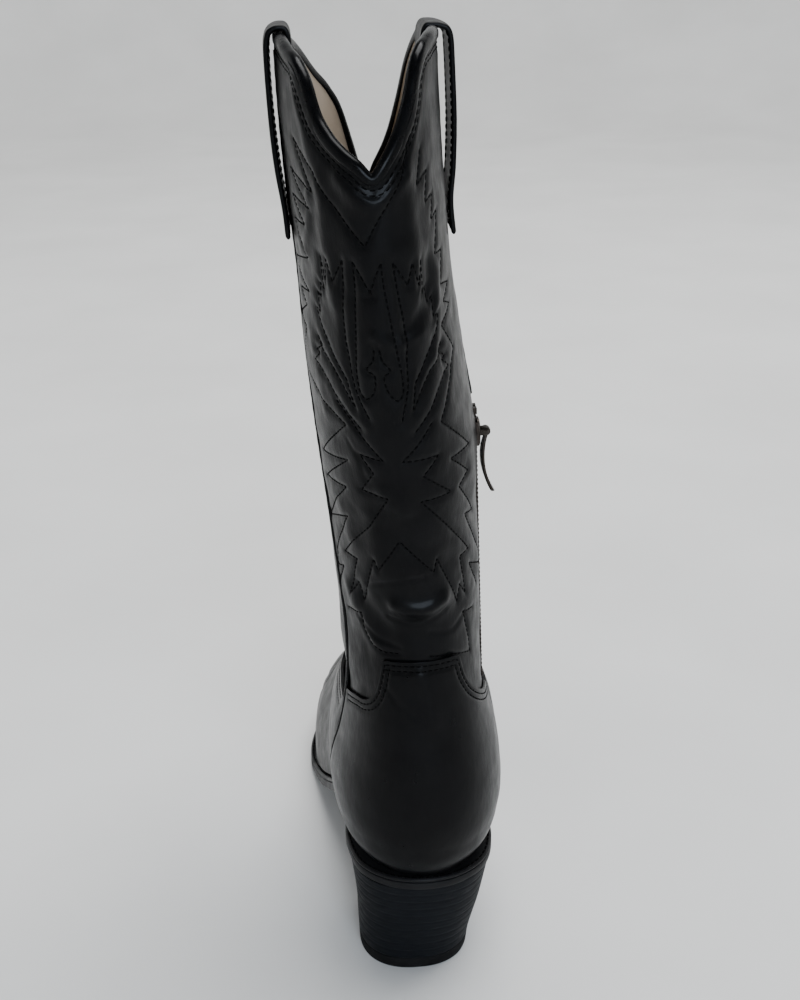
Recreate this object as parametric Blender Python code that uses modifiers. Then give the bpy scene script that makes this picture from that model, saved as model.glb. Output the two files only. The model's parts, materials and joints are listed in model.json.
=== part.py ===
"""Left cowboy boot, built as its separate pieces, in metres with +Z up.

The toe points along +Y and the inner ankle, with the zip, faces +X. The leather upper is one lofted form in
two halves, back and front, that meet along the two side seams. Every leather, lining and stiffener piece is a
shell at its own depth under that form. The sole pieces are slabs bent to one side profile.
"""

import math

import bmesh
import bpy
import numpy as np
from mathutils import Matrix, Vector

# ---------------------------------------------------------------- driving dimensions
ORIGIN_X = -0.00529         # middle of the whole boot's box, in the last's own coordinates
ORIGIN_Y = 0.1355
GAP = 0.0003                # air left between touching pieces

PANEL = (0.0, 0.0018)       # depth under the form, and thickness, of each layer
STIFFENER = (0.0, 0.0016)
COVER = (-0.0019, 0.0014)
TAPE = (0.0021, 0.0005)
LINING = (0.0029, 0.0008)
GUARD = (0.0041, 0.0009)

SEAM_SETBACK = 0.0017       # from a side seam to a panel's edge
ZIP_SETBACK = 0.0052
FEATHER_SETBACK = 0.0026    # from the line where the upper meets the sole to the vamp's bottom edge
LINING_SETBACK = 0.0006
FEATHER_TOP = 0.089         # below this v the front half's edges meet the sole, above it the side seams
PIPING_R = 0.0011
BINDING_R = 0.0021
EDGE_ALLOWANCE = 0.0018     # from the binding to the panel it covers
EDGE_CLEARANCE = BINDING_R + EDGE_ALLOWANCE

ZIP_LOW, ZIP_HIGH = 0.131, 0.2575
ZIP_Y = 0.050
TOOTH_PITCH = 0.0040
TOOTH_HEIGHT = 0.0014
SLIDER_Z = 0.2475
BAR_STANDOFF = 0.0044       # zip surface to the slider's bar, which the pull hangs on

STRAP_WIDTH = 0.024
STRAP_THICKNESS = 0.0020
STRAP_END_Z = 0.331
STRAP_STANDOFF = 0.0012     # from the shaft to the strap's stitched lower end
STRAP_Y = 0.061
STRAP_BOW = 0.0060          # how far the loop stands off the shaft for a finger
STRAP_CURVE = 0.075         # radius the strap takes from the shaft under it

OUTSOLE_THICKNESS = 0.0040
WELT_THICKNESS = 0.0018
WELT_WIDTH = 0.0105
SHANK_THICKNESS = 0.0012
BOARD_THICKNESS = 0.0020
INSOCK_THICKNESS = 0.0012
HEEL_SEAT_Z = 0.056
SEAT_RISE = 0.0066          # rises of each layer above the outsole's bottom face
WELT_RISE = OUTSOLE_THICKNESS + 0.0005
SHANK_RISE = OUTSOLE_THICKNESS + 0.0006
BOARD_RISE = SEAT_RISE + GAP
INSOCK_RISE = BOARD_RISE + BOARD_THICKNESS + 0.0011
CORK_THICKNESS = 0.0018
CORK_Y = (0.158, 0.262)
SHANK_HALF_WIDTH = 0.0075
SHANK_Y = (0.026, 0.154)
RIVET_Y = (0.0445, 0.142)
RIVET_R, RIVET_HEAD_R, RIVET_HEAD = 0.0014, 0.0026, 0.0007

NAILS = ((-0.018, 0.028), (-0.0105, 0.0170), (0.0105, 0.0170), (0.018, 0.028), (0.0, 0.054))
NAIL_R, NAIL_HEAD_R, NAIL_TIP_Z = 0.0011, 0.0024, 0.032
SCREW_AT = (0.0, 0.033)
SCREW_R, SCREW_HEAD_R, SCREW_TIP_Z = 0.0021, 0.0042, 0.026
LIFT_PINS = ((-0.015, 0.026), (0.007, 0.026))
BORE_CLEARANCE = 0.0004
TOE_SHARE = 0.15            # most of a half's width that a seam set-back takes, where the toe narrows

COLUMNS = 18                # faces across each shell
SHAFT_ROWS = (0.155, 0.170, 0.187, 0.210, 0.235, 0.248, 0.261, 0.270)
SLAB_STEP = 0.010           # width of the strips that a sole slab bends in

# Shaft stations: height, middle x, half width, back y, front y, lateral seam y, medial seam y
SHAFT = (
    (0.150, -0.0010, 0.0309, 0.005, 0.108, 0.040, 0.050),
    (0.168, -0.0015, 0.0309, 0.007, 0.106, 0.041, 0.050),
    (0.187, -0.0024, 0.0312, 0.006, 0.106, 0.043, 0.050),
    (0.218, -0.0041, 0.0321, 0.002, 0.111, 0.047, 0.050),
    (0.253, -0.0063, 0.0333, -0.003, 0.118, 0.052, 0.050),
    (0.287, -0.0105, 0.0319, -0.007, 0.125, 0.056, 0.054),
    (0.320, -0.0136, 0.0306, -0.010, 0.130, 0.059, 0.060),
    (0.354, -0.0159, 0.0302, -0.012, 0.134, 0.061, 0.061),
    (0.385, -0.0170, 0.0294, -0.013, 0.136, 0.061, 0.061),
    (0.410, -0.0172, 0.0290, -0.014, 0.137, 0.061, 0.061),
)

# Heel stations: height, lateral edge, medial edge, rear crown (x, y), edge fullness, crown fullness, flare
HEEL = (
    (0.056, (-0.0295, 0.063), (0.0290, 0.063), (0.0, 0.0045), 0.62, 0.66, 0.0),
    (0.063, (-0.0345, 0.062), (0.0345, 0.062), (0.0, 0.0), 0.62, 0.66, 0.0),
    (0.075, (-0.0375, 0.060), (0.0380, 0.060), (0.0, -0.0035), 0.60, 0.64, 0.0),
    (0.092, (-0.0370, 0.052), (0.0370, 0.056), (0.0002, -0.005), 0.60, 0.62, 0.0015),
    (0.110, (-0.0332, 0.046), (0.0343, 0.0525), (0.0005, -0.003), 0.58, 0.60, 0.0025),
    (0.127, (-0.0304, 0.042), (0.0306, 0.050), (0.0, 0.0005), 0.57, 0.58, 0.0035),
)

# Foot stations: v, lateral edge, medial edge, ridge over the instep, edge fullness, ridge fullness, flare
FOOT = (
    (-0.044, (-0.0025, 0.279, 0.0143), (0.0068, 0.279, 0.0143), (0.0023, 0.2796, 0.0148), 0.30, 0.60, 0.0),
    (-0.041, (-0.0045, 0.277, 0.0140), (0.0085, 0.277, 0.0140), (0.0025, 0.2775, 0.0210), 0.50, 0.60, 0.001),
    (-0.036, (-0.0090, 0.271, 0.0131), (0.0125, 0.271, 0.0131), (0.0025, 0.2705, 0.0300), 0.62, 0.68, 0.0015),
    (-0.028, (-0.0160, 0.260, 0.0114), (0.0185, 0.260, 0.0114), (0.0025, 0.260, 0.037), 0.66, 0.70, 0.002),
    (-0.015, (-0.0265, 0.240, 0.0090), (0.0275, 0.240, 0.0090), (0.002, 0.245, 0.044), 0.66, 0.70, 0.0025),
    (0.000, (-0.0365, 0.215, 0.0070), (0.0350, 0.215, 0.0070), (0.0015, 0.229, 0.050), 0.66, 0.70, 0.0025),
    (0.015, (-0.0435, 0.190, 0.0067), (0.0395, 0.192, 0.0067), (0.001, 0.213, 0.057), 0.64, 0.68, 0.0025),
    (0.030, (-0.0450, 0.165, 0.0083), (0.0390, 0.168, 0.0083), (0.0005, 0.198, 0.0655), 0.62, 0.66, 0.0025),
    (0.045, (-0.0420, 0.140, 0.0165), (0.0335, 0.140, 0.0165), (0.0, 0.184, 0.0755), 0.60, 0.64, 0.004),
    (0.060, (-0.0370, 0.115, 0.0300), (0.0285, 0.115, 0.0300), (0.0, 0.172, 0.085), 0.58, 0.62, 0.006),
    (0.075, (-0.0330, 0.090, 0.0450), (0.0265, 0.090, 0.0450), (0.0, 0.160, 0.095), 0.58, 0.62, 0.008),
    (0.090, (-0.0295, 0.063, 0.0560), (0.0290, 0.063, 0.0560), (0.0, 0.149, 0.104), 0.56, 0.62, 0.009),
    (0.105, (-0.0375, 0.060, 0.0750), (0.0380, 0.060, 0.0750), (0.0, 0.138, 0.114), 0.56, 0.62, 0.003),
    (0.120, (-0.0353, 0.0485, 0.1010), (0.0360, 0.054, 0.1010), (0.0, 0.127, 0.124), 0.56, 0.60, 0.002),
    (0.135, (-0.0304, 0.042, 0.1270), (0.0306, 0.050, 0.1270), (-0.0008, 0.116, 0.136), 0.56, 0.58, 0.0),
)

# Height of the scalloped top edge against u, the way round each half from the lateral to the medial seam
BACK_EDGE = ((0.0, 0.4055), (0.08, 0.4050), (0.15, 0.4025), (0.22, 0.3990), (0.26, 0.3935), (0.30, 0.3850),
             (0.35, 0.3775), (0.40, 0.3722), (0.45, 0.3675), (0.50, 0.3630), (0.55, 0.3685), (0.585, 0.3735),
             (0.63, 0.3815), (0.667, 0.3900), (0.70, 0.3985), (0.74, 0.4035), (0.80, 0.4060), (1.0, 0.4065))
FRONT_EDGE = ((0.0, 0.4055), (0.10, 0.4025), (0.20, 0.3960), (0.30, 0.3850), (0.37, 0.3775), (0.43, 0.3670),
              (0.47, 0.3530), (0.50, 0.3410), (0.535, 0.3365), (0.60, 0.3450), (0.69, 0.3600), (0.755, 0.3755),
              (0.82, 0.3920), (0.89, 0.4025), (1.0, 0.4065))

# Counter cover's upper edge (u, height): a flat-topped tongue between two low rounded wings
COUNTER_EDGE = ((0.0, 0.1285), (0.06, 0.1300), (0.12, 0.1310), (0.17, 0.1350), (0.22, 0.1425), (0.26, 0.1520),
                (0.30, 0.1605), (0.36, 0.1625), (0.64, 0.1625), (0.70, 0.1595), (0.74, 0.1520), (0.78, 0.1440),
                (0.83, 0.1360), (0.88, 0.1310), (0.94, 0.1285), (1.0, 0.1265))

# Vamp's upper edge, as v against u: a pointed tongue up the instep
VAMP_EDGE = ((0.0, 0.133), (0.10, 0.128), (0.22, 0.121), (0.34, 0.124), (0.43, 0.137), (0.50, 0.146),
             (0.57, 0.137), (0.66, 0.124), (0.78, 0.121), (0.90, 0.127), (1.0, 0.132))

# Height of the sole's top face along the boot
SEAT = ((-0.02, 0.056), (0.058, 0.056), (0.070, 0.0540), (0.090, 0.0455), (0.115, 0.030), (0.140, 0.0165),
        (0.165, 0.0081), (0.175, 0.0066), (0.208, 0.0066),
        (0.225, 0.0076), (0.240, 0.0090), (0.260, 0.0113), (0.290, 0.0158))

# Outsole outline, anticlockwise from the back of the heel
OUTLINE = ((0.0, 0.0), (0.016, 0.0035), (0.0285, 0.0145), (0.0335, 0.032), (0.0320, 0.052), (0.0290, 0.075),
           (0.0285, 0.095), (0.0320, 0.120), (0.0405, 0.155), (0.0440, 0.185), (0.0405, 0.214), (0.0335, 0.240),
           (0.0230, 0.263), (0.0110, 0.279), (0.0025, 0.2835), (-0.0065, 0.279), (-0.0210, 0.261),
           (-0.0325, 0.239), (-0.0425, 0.214), (-0.0488, 0.190), (-0.0500, 0.170), (-0.0470, 0.148),
           (-0.0410, 0.110), (-0.0365, 0.080), (-0.0342, 0.052), (-0.0337, 0.032), (-0.0285, 0.0145),
           (-0.016, 0.0035))

# Heel block sections: height, middle x, half width, back y, breast y
HEEL_BLOCK = ((0.0490, -0.0002, 0.0322, 0.0012, 0.0600), (0.0300, -0.0012, 0.0290, 0.0030, 0.0560),
              (0.0066, -0.0038, 0.0256, 0.0052, 0.0525))
HEEL_LIFT = ((0.0062, -0.0038, 0.0256, 0.0052, 0.0525), (0.0, -0.0041, 0.0252, 0.0056, 0.0520))

MATERIALS = {
    "black_leather": ((0.012, 0.012, 0.013), 0.28, 0.0),
    "lining": ((0.38, 0.30, 0.22), 0.75, 0.0),
    "stiffener": ((0.55, 0.50, 0.42), 0.85, 0.0),
    "tape": ((0.012, 0.012, 0.013), 0.90, 0.0),
    "gunmetal": ((0.10, 0.09, 0.08), 0.35, 1.0),
    "steel": ((0.45, 0.45, 0.46), 0.35, 1.0),
    "cork": ((0.42, 0.27, 0.15), 0.90, 0.0),
    "insole_board": ((0.40, 0.30, 0.20), 0.85, 0.0),
    "sole": ((0.020, 0.020, 0.020), 0.55, 0.0),
    "heel_stack": ((0.016, 0.015, 0.015), 0.50, 0.0),
    "rubber": ((0.018, 0.018, 0.018), 0.80, 0.0),
}


# ---------------------------------------------------------------- scene, materials, objects
def clear_scene():
    for obj in list(bpy.data.objects):
        bpy.data.objects.remove(obj, do_unlink=True)


def new_collection(name):
    collection = bpy.data.collections.new(name)
    bpy.context.scene.collection.children.link(collection)
    return collection


def make_material(name):
    colour, roughness, metallic = MATERIALS[name]
    material = bpy.data.materials.new(name)
    material.use_nodes = True
    shader = material.node_tree.nodes["Principled BSDF"]
    shader.inputs["Base Color"].default_value = (*colour, 1.0)
    shader.inputs["Roughness"].default_value = roughness
    shader.inputs["Metallic"].default_value = metallic
    return material


clear_scene()
BOOT = new_collection("cowboy_boot")
CUTTERS = new_collection("cutters")
MATERIAL = {name: make_material(name) for name in MATERIALS}

last_frame = bpy.data.objects.new("last_frame", None)
last_frame.location = (-ORIGIN_X, -ORIGIN_Y, 0.0)
BOOT.objects.link(last_frame)


def add_object(name, data, material, parent=last_frame):
    obj = bpy.data.objects.new(name, data)
    BOOT.objects.link(obj)
    obj.parent = parent
    data.materials.append(MATERIAL[material])
    return obj


def mesh_from(name, points, faces):
    mesh = bpy.data.meshes.new(name)
    mesh.from_pydata([tuple(float(c) for c in p) for p in points], [], faces)
    mesh.update()
    return mesh


def smooth_shading(mesh):
    mesh.shade_smooth()
    mesh.set_sharp_from_angle(angle=math.radians(40))


def solidify(obj, thickness, offset=-1.0):
    modifier = obj.modifiers.new("thickness", "SOLIDIFY")
    modifier.thickness = thickness
    modifier.offset = offset


def cut(obj, cutter):
    modifier = obj.modifiers.new("cut", "BOOLEAN")
    modifier.operation = "DIFFERENCE"
    modifier.object = cutter


def join(obj, other):
    modifier = obj.modifiers.new("join", "BOOLEAN")
    modifier.operation = "UNION"
    modifier.object = other


def hide_as_tool(obj):
    for collection in list(obj.users_collection):
        collection.objects.unlink(obj)
    CUTTERS.objects.link(obj)
    obj.hide_render = True
    obj.display_type = "WIRE"


# ---------------------------------------------------------------- curves through stations
def spline(knots, values, t, keep_flats=False):
    """Cubic Hermite curve through values at knots; keep_flats stops it from overshooting level stretches."""
    knots, values = np.asarray(knots, float), np.asarray(values, float)
    tail = (1,) * (values.ndim - 1)
    t = np.clip(np.asarray(t, float), knots[0], knots[-1])
    step = np.diff(knots).reshape(-1, *tail)
    rise = np.diff(values, axis=0) / step
    slope = np.empty_like(values)
    slope[0], slope[-1] = rise[0], rise[-1]
    slope[1:-1] = (rise[:-1] * step[1:] + rise[1:] * step[:-1]) / (step[1:] + step[:-1])
    if keep_flats:
        product = rise[:-1] * rise[1:]
        harmonic = 2 * product / np.where(product > 0, rise[:-1] + rise[1:], 1.0)
        slope[1:-1] = np.where(product > 0, harmonic, 0.0)
    i = np.clip(np.searchsorted(knots, t) - 1, 0, len(knots) - 2)
    width = knots[i + 1] - knots[i]
    s = ((t - knots[i]) / width).reshape(t.shape + tail)
    width = width.reshape(t.shape + tail)
    return ((2 * s**3 - 3 * s**2 + 1) * values[i] + (s**3 - 2 * s**2 + s) * width * slope[i]
            + (3 * s**2 - 2 * s**3) * values[i + 1] + (s**3 - s**2) * width * slope[i + 1])


def through(pairs, t, keep_flats=False):
    knots, values = zip(*pairs)
    return spline(knots, values, t, keep_flats)


def closed_spline(points, per_span):
    """Catmull-Rom loop through points."""
    p = np.asarray(points, float)
    before, after, beyond = np.roll(p, 1, 0), np.roll(p, -1, 0), np.roll(p, -2, 0)
    loop = []
    for k in range(per_span):
        t = k / per_span
        loop.append(0.5 * (2 * p + (after - before) * t + (2 * before - 5 * p + 4 * after - beyond) * t**2
                           + (3 * p - before - 3 * after + beyond) * t**3))
    return np.stack(loop, axis=1).reshape(-1, p.shape[1])


def inset_loop(loop, distance):
    """Moves an anticlockwise loop inwards in XY."""
    along = np.roll(loop, -1, 0) - np.roll(loop, 1, 0)
    along /= np.linalg.norm(along[:, :2], axis=1, keepdims=True)
    inward = np.stack([-along[:, 1], along[:, 0]], axis=1)
    moved = loop.copy()
    moved[:, :2] += inward * distance
    return moved


# ---------------------------------------------------------------- the form of the upper
def half_section(lateral, lateral_handle, crown, crown_handle_l, crown_handle_m, medial, medial_handle):
    """Seven control points of two Bezier arcs: lateral edge, crown, medial edge."""
    points = [lateral, lateral + lateral_handle, crown - crown_handle_l, crown,
              crown + crown_handle_m, medial + medial_handle, medial]
    return np.array(points, float)


def shaft_section(station, front):
    """Half of an ellipse, as arcs from the lateral seam over the crown to the medial seam."""
    z, middle, half_width, back, fore, lateral_y, medial_y = station
    centre_y, half_depth = (back + fore) / 2, (fore - back) / 2
    side = 1.0 if front else -1.0

    def at(angle, sx):
        return np.array([middle + sx * half_width * math.cos(angle),
                         centre_y + half_depth * math.sin(angle), z])

    def tangent(angle, sx):
        return np.array([-sx * half_width * math.sin(angle), half_depth * math.cos(angle), 0.0])

    lateral_angle = math.asin((lateral_y - centre_y) / half_depth)
    medial_angle = math.asin((medial_y - centre_y) / half_depth)
    k_l = 4 / 3 * math.tan((math.pi / 2 - side * lateral_angle) / 4)
    k_m = 4 / 3 * math.tan((math.pi / 2 - side * medial_angle) / 4)
    crown = np.array([middle, fore if front else back, z])
    return half_section(at(lateral_angle, -1), side * k_l * tangent(lateral_angle, -1), crown,
                        np.array([k_l * half_width, 0, 0]), np.array([k_m * half_width, 0, 0]),
                        at(medial_angle, 1), side * k_m * tangent(medial_angle, 1))


def heel_section(station):
    z, lateral, medial, crown, edge_full, crown_full, flare = station
    lateral, medial, crown = (np.array([*p, z]) for p in (lateral, medial, crown))
    sweep = np.array([crown_full * (medial[0] - lateral[0]) / 2, 0, 0])
    lateral_handle = np.array([flare, -edge_full * (lateral[1] - crown[1]), 0])
    medial_handle = np.array([0, -edge_full * (medial[1] - crown[1]), 0])
    return half_section(lateral, lateral_handle, crown, sweep, sweep, medial, medial_handle)


def foot_section(station):
    _, lateral, medial, crown, edge_full, crown_full, flare = station
    lateral, medial, crown = (np.array(p) for p in (lateral, medial, crown))
    rise = (crown - (lateral + medial) / 2) * edge_full
    rise[0] = 0
    sweep = crown_full * (medial - lateral) / 2
    sweep[2] = 0
    out = np.array([flare, 0, 0])
    return half_section(lateral, rise - out, crown, sweep, sweep, medial, rise + out)


BACK_KNOTS = [s[0] for s in HEEL + SHAFT]
BACK_SECTIONS = np.array([heel_section(s) for s in HEEL] + [shaft_section(s, False) for s in SHAFT])
FRONT_KNOTS = [s[0] for s in FOOT + SHAFT]
FRONT_SECTIONS = np.array([foot_section(s) for s in FOOT] + [shaft_section(s, True) for s in SHAFT])


def bezier(p, t):
    t = t[..., None]
    return ((1 - t)**3 * p[..., 0, :] + 3 * t * (1 - t)**2 * p[..., 1, :]
            + 3 * t**2 * (1 - t) * p[..., 2, :] + t**3 * p[..., 3, :])


def form(front, u, v):
    """Point on the form: u runs 0 to 1 from the lateral to the medial seam, v upwards through the stations."""
    u, v = np.broadcast_arrays(np.asarray(u, float), np.asarray(v, float))
    sections = spline(FRONT_KNOTS, FRONT_SECTIONS, v) if front else spline(BACK_KNOTS, BACK_SECTIONS, v)
    first = bezier(sections[..., 0:4, :], np.clip(2 * u, 0, 1))
    second = bezier(sections[..., 3:7, :], np.clip(2 * u - 1, 0, 1))
    return np.where((u <= 0.5)[..., None], first, second)


def layer(front, u, v, depth):
    """Point at a depth under the form, along its normal."""
    du, dv = 0.002, 0.0005
    across = form(front, np.minimum(u + du, 1), v) - form(front, np.maximum(u - du, 0), v)
    up = form(front, u, v + dv) - form(front, u, v - dv)
    outward = np.cross(across, up) * (-1 if front else 1)
    outward /= np.linalg.norm(outward, axis=-1, keepdims=True)
    return form(front, u, v) - outward * depth


def u_from_seam(front, medial, distance, v):
    """u of the point that lies a distance round the form from a side seam."""
    step = 0.01
    seam, inside = (1.0, 1.0 - step) if medial else (0.0, step)
    per_u = np.linalg.norm(form(front, inside, v) - form(front, seam, v), axis=-1) / step
    share = np.minimum(distance / per_u, TOE_SHARE)
    return 1 - share if medial else share


def v_at_height(front, medial, z):
    """v where a side seam is at height z."""
    v = np.linspace(0.056 if not front else 0.090, 0.410, 360)
    heights = form(front, 1.0 if medial else 0.0, v)[:, 2]
    return np.interp(z, heights, v)


def beside_seam(medial, distance, z, depth):
    """Point beside a side seam at height z: distance is positive towards the toe."""
    front = distance > 0
    v = v_at_height(front, medial, z)
    u = u_from_seam(front, medial, abs(distance), v)
    return layer(front, u, v, depth)


def top_edge(front, u):
    return through(FRONT_EDGE if front else BACK_EDGE, u)


def below_edge(front, u, clearance):
    """Highest v that stays a clearance away from the scalloped edge."""
    round_length = 0.10
    u = np.asarray(u, float)
    best = top_edge(front, u) - clearance
    for k in np.linspace(-1, 1, 17):
        near = np.clip(u + k * clearance / round_length, 0, 1)
        best = np.minimum(best, top_edge(front, near) - clearance * math.sqrt(max(0.0, 1 - k * k)))
    return best


# ---------------------------------------------------------------- shells of the upper
def near_zip(z, setback, plain):
    """Set-back of a medial edge: wide beside the zip, narrow above and below it."""
    return np.where((z > ZIP_LOW - 0.008) & (z < ZIP_HIGH + 0.004), setback, plain)


def shell(name, material, front, rows, columns, depth, thickness, setback, zip_setback=None):
    """A shell between the side seams. rows gives v for each row, as a number or a function of u."""
    fractions = np.linspace(0, 1, columns + 1)
    grid = []
    for row in rows:
        v = row(fractions) if callable(row) else np.full_like(fractions, row)
        z_medial = form(front, 1.0, v[-1])[2]
        medial_setback = setback if zip_setback is None else near_zip(z_medial, zip_setback, setback)
        on_feather = front and v[0] < FEATHER_TOP
        low = u_from_seam(front, False, FEATHER_SETBACK if on_feather else setback, v[0])
        high = u_from_seam(front, True, FEATHER_SETBACK if on_feather else medial_setback, v[-1])
        u = low + (high - low) * fractions
        v = row(u) if callable(row) else v
        grid.append(layer(front, u, v, depth))
    points = np.array(grid)
    count = columns + 1
    faces = []
    for r in range(len(grid) - 1):
        for c in range(columns):
            quad = (r * count + c, r * count + c + 1, (r + 1) * count + c + 1, (r + 1) * count + c)
            faces.append(quad[::-1] if front else quad)
    mesh = mesh_from(name, points.reshape(-1, 3), faces)
    smooth_shading(mesh)
    obj = add_object(name, mesh, material)
    solidify(obj, thickness)
    return obj


def rows_up_to(fixed, last_fixed, edge, count):
    """Rows at fixed v, then evenly spaced rows that end on a curved edge."""
    rows = list(fixed) + [last_fixed]
    for k in range(1, count + 1):
        fraction = k / count
        rows.append(lambda u, f=fraction: last_fixed + (edge(u) - last_fixed) * f)
    return rows


def make_shaft():
    for side, front, bottom in (("back", False, 0.121), ("front", True, 0.116)):
        lower = (bottom, 0.126, 0.135, 0.144) if front else (bottom, 0.130, 0.141)
        fixed = lower + SHAFT_ROWS
        rows = rows_up_to(fixed, 0.305, lambda u, f=front: below_edge(f, u, EDGE_CLEARANCE), 5)
        shell(f"shaft_{side}_panel", "black_leather", front, rows, COLUMNS, *PANEL,
              SEAM_SETBACK, ZIP_SETBACK)
        shell(f"shaft_{side}_lining", "lining", front, rows, COLUMNS, *LINING, LINING_SETBACK, ZIP_SETBACK)


def make_foot():
    counter_rows = rows_up_to((0.0575, 0.063, 0.075, 0.092), 0.110, lambda u: through(COUNTER_EDGE, u), 4)
    shell("counter_cover", "black_leather", False, counter_rows, COLUMNS, *COVER, SEAM_SETBACK, ZIP_SETBACK)
    heel_rows = (0.0565, 0.063, 0.075, 0.092, 0.110)
    shell("heel_stiffener", "stiffener", False, heel_rows + (0.1185,), COLUMNS, *STIFFENER,
          SEAM_SETBACK, ZIP_SETBACK)
    shell("heel_lining", "lining", False, heel_rows + (0.1185,), COLUMNS, *LINING, LINING_SETBACK, ZIP_SETBACK)
    foot_rows = (-0.036, -0.028, -0.015, 0.0, 0.015, 0.030, 0.045, 0.060, 0.075, 0.0902)
    vamp_rows = rows_up_to((-0.044, -0.041) + foot_rows, 0.105, lambda u: through(VAMP_EDGE, u), 3)
    shell("vamp", "black_leather", True, vamp_rows, COLUMNS, *COVER, SEAM_SETBACK, ZIP_SETBACK)
    shell("vamp_lining", "lining", True, foot_rows + (0.105, 0.114), COLUMNS, *LINING, LINING_SETBACK)
    shell("toe_puff", "stiffener", True, foot_rows[:4], COLUMNS, *STIFFENER, SEAM_SETBACK)


# ---------------------------------------------------------------- piping, binding
def tube(name, material, points, radius, closed=False):
    curve = bpy.data.curves.new(name, "CURVE")
    curve.dimensions = "3D"
    line = curve.splines.new("POLY")
    line.points.add(len(points) - 1)
    for point, place in zip(line.points, points):
        point.co = (*(float(c) for c in place), 1.0)
    line.use_cyclic_u = closed
    curve.bevel_depth = radius
    curve.bevel_resolution = 2
    curve.use_fill_caps = not closed
    return add_object(name, curve, material)


def piping_depth(z):
    """The piping stands further out where it lies between the thicker covers."""
    return 0.0006 - 0.0016 * (1 - through(((0.0, 0.0), (0.125, 0.0), (0.150, 1.0), (0.5, 1.0)), z, True))


def make_piping():
    for name, medial, low, high, count in (("side_piping_lateral", False, 0.0580, 0.3990, 26),
                                           ("side_piping_medial_upper", True, 0.2680, 0.4000, 12),
                                           ("side_piping_medial_lower", True, 0.0580, 0.1220, 9)):
        heights = np.linspace(low, high, count)
        points = [beside_seam(medial, 0.0, z, piping_depth(z)) for z in heights]
        tube(name, "black_leather", points, PIPING_R)


def make_binding():
    """One tube round the whole mouth, over the edges of the panels and their linings."""
    depth = (LINING[0] + LINING[1]) / 2
    u = np.concatenate([np.linspace(0, 0.2, 4), np.linspace(0.24, 0.76, 19), np.linspace(0.80, 1, 4)])
    back = layer(False, u, top_edge(False, u), depth)
    front = layer(True, u, top_edge(True, u), depth)[::-1]
    tube("top_binding", "black_leather", np.concatenate([back, front[1:-1]]), BINDING_R, closed=True)


# ---------------------------------------------------------------- pull straps
def strap_path():
    """Strap centre line as (offset outwards from the form, height), from the inside end over the binding."""
    centre, crest = -(LINING[0] + LINING[1]) / 2, 0.4068
    turn = BINDING_R + 0.00045 + STRAP_THICKNESS / 2
    corner = turn * math.sqrt(0.5)
    out = STRAP_BOW + STRAP_THICKNESS / 2
    close = STRAP_STANDOFF + STRAP_THICKNESS / 2
    return ((centre - turn, 0.362), (centre - turn, 0.385), (centre - turn, crest - 0.003),
            (centre - corner, crest + corner), (centre, crest + turn), (out - 0.0028, crest + turn - 0.0006),
            (out - 0.0006, crest - 0.0010), (out, 0.392), (out, 0.374), (close + (out - close) * 0.45, 0.356),
            (close, 0.344), (close, STRAP_END_Z))


def make_strap(name, medial):
    """A flat strip folded over the top of the side seam."""
    path = np.array(strap_path())
    steps = np.linspace(0, len(path) - 1, 27)
    line = spline(np.arange(len(path)), path, steps)
    count, seam_top, half_depth = 4, 0.405, 0.030
    rows = []
    for offset, z in line:
        for y in np.linspace(-STRAP_WIDTH / 2, STRAP_WIDTH / 2, count):
            seam = form(False, 1.0 if medial else 0.0, min(z, seam_top))
            out = offset - half_depth * (1 - math.cos(math.asin(y / STRAP_CURVE)))
            rows.append((seam[0] + (out if medial else -out), STRAP_Y + y, z))
    faces = []
    for r in range(len(line) - 1):
        for c in range(count - 1):
            quad = (r * count + c, r * count + c + 1, (r + 1) * count + c + 1, (r + 1) * count + c)
            faces.append(quad if medial else quad[::-1])
    mesh = mesh_from(name, rows, faces)
    smooth_shading(mesh)
    solidify(add_object(name, mesh, "black_leather"), STRAP_THICKNESS, 0.0)


# ---------------------------------------------------------------- zip
ZIP_FOOT = form(False, 1.0, 0.150)
ZIP_HEAD = form(False, 1.0, 0.253)
ZIP_LEAN = math.atan((ZIP_FOOT[0] - ZIP_HEAD[0]) / (ZIP_HEAD[2] - ZIP_FOOT[2]))


def zip_x(z):
    """The zip is a straight line in the medial seam."""
    return ZIP_FOOT[0] - math.tan(ZIP_LEAN) * (z - ZIP_FOOT[2])


def on_zip(obj, z):
    """Stands an object on the zip: its own X points out of the boot and its own Z up along the zip."""
    obj.location = (zip_x(z), ZIP_Y, z)
    obj.rotation_euler = (0.0, -ZIP_LEAN, 0.0)


def box_mesh(name, low, high):
    bm = bmesh.new()
    bmesh.ops.create_cube(bm, size=1.0)
    size = Vector(high) - Vector(low)
    centre = (Vector(high) + Vector(low)) / 2
    bmesh.ops.transform(bm, matrix=Matrix.Translation(centre) @ Matrix.Diagonal((*size, 1.0)), verts=bm.verts)
    mesh = bpy.data.meshes.new(name)
    bm.to_mesh(mesh)
    bm.free()
    return mesh


def cylinder_mesh(name, radius, low, high, segments=16, axis="Z"):
    bm = bmesh.new()
    bmesh.ops.create_cone(bm, cap_ends=True, segments=segments, radius1=radius, radius2=radius,
                          depth=high - low)
    bmesh.ops.translate(bm, vec=(0, 0, (high + low) / 2), verts=bm.verts)
    if axis == "Y":
        bmesh.ops.rotate(bm, matrix=Matrix.Rotation(math.radians(-90), 3, "X"), verts=bm.verts)
    mesh = bpy.data.meshes.new(name)
    bm.to_mesh(mesh)
    bm.free()
    smooth_shading(mesh)
    return mesh


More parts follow.
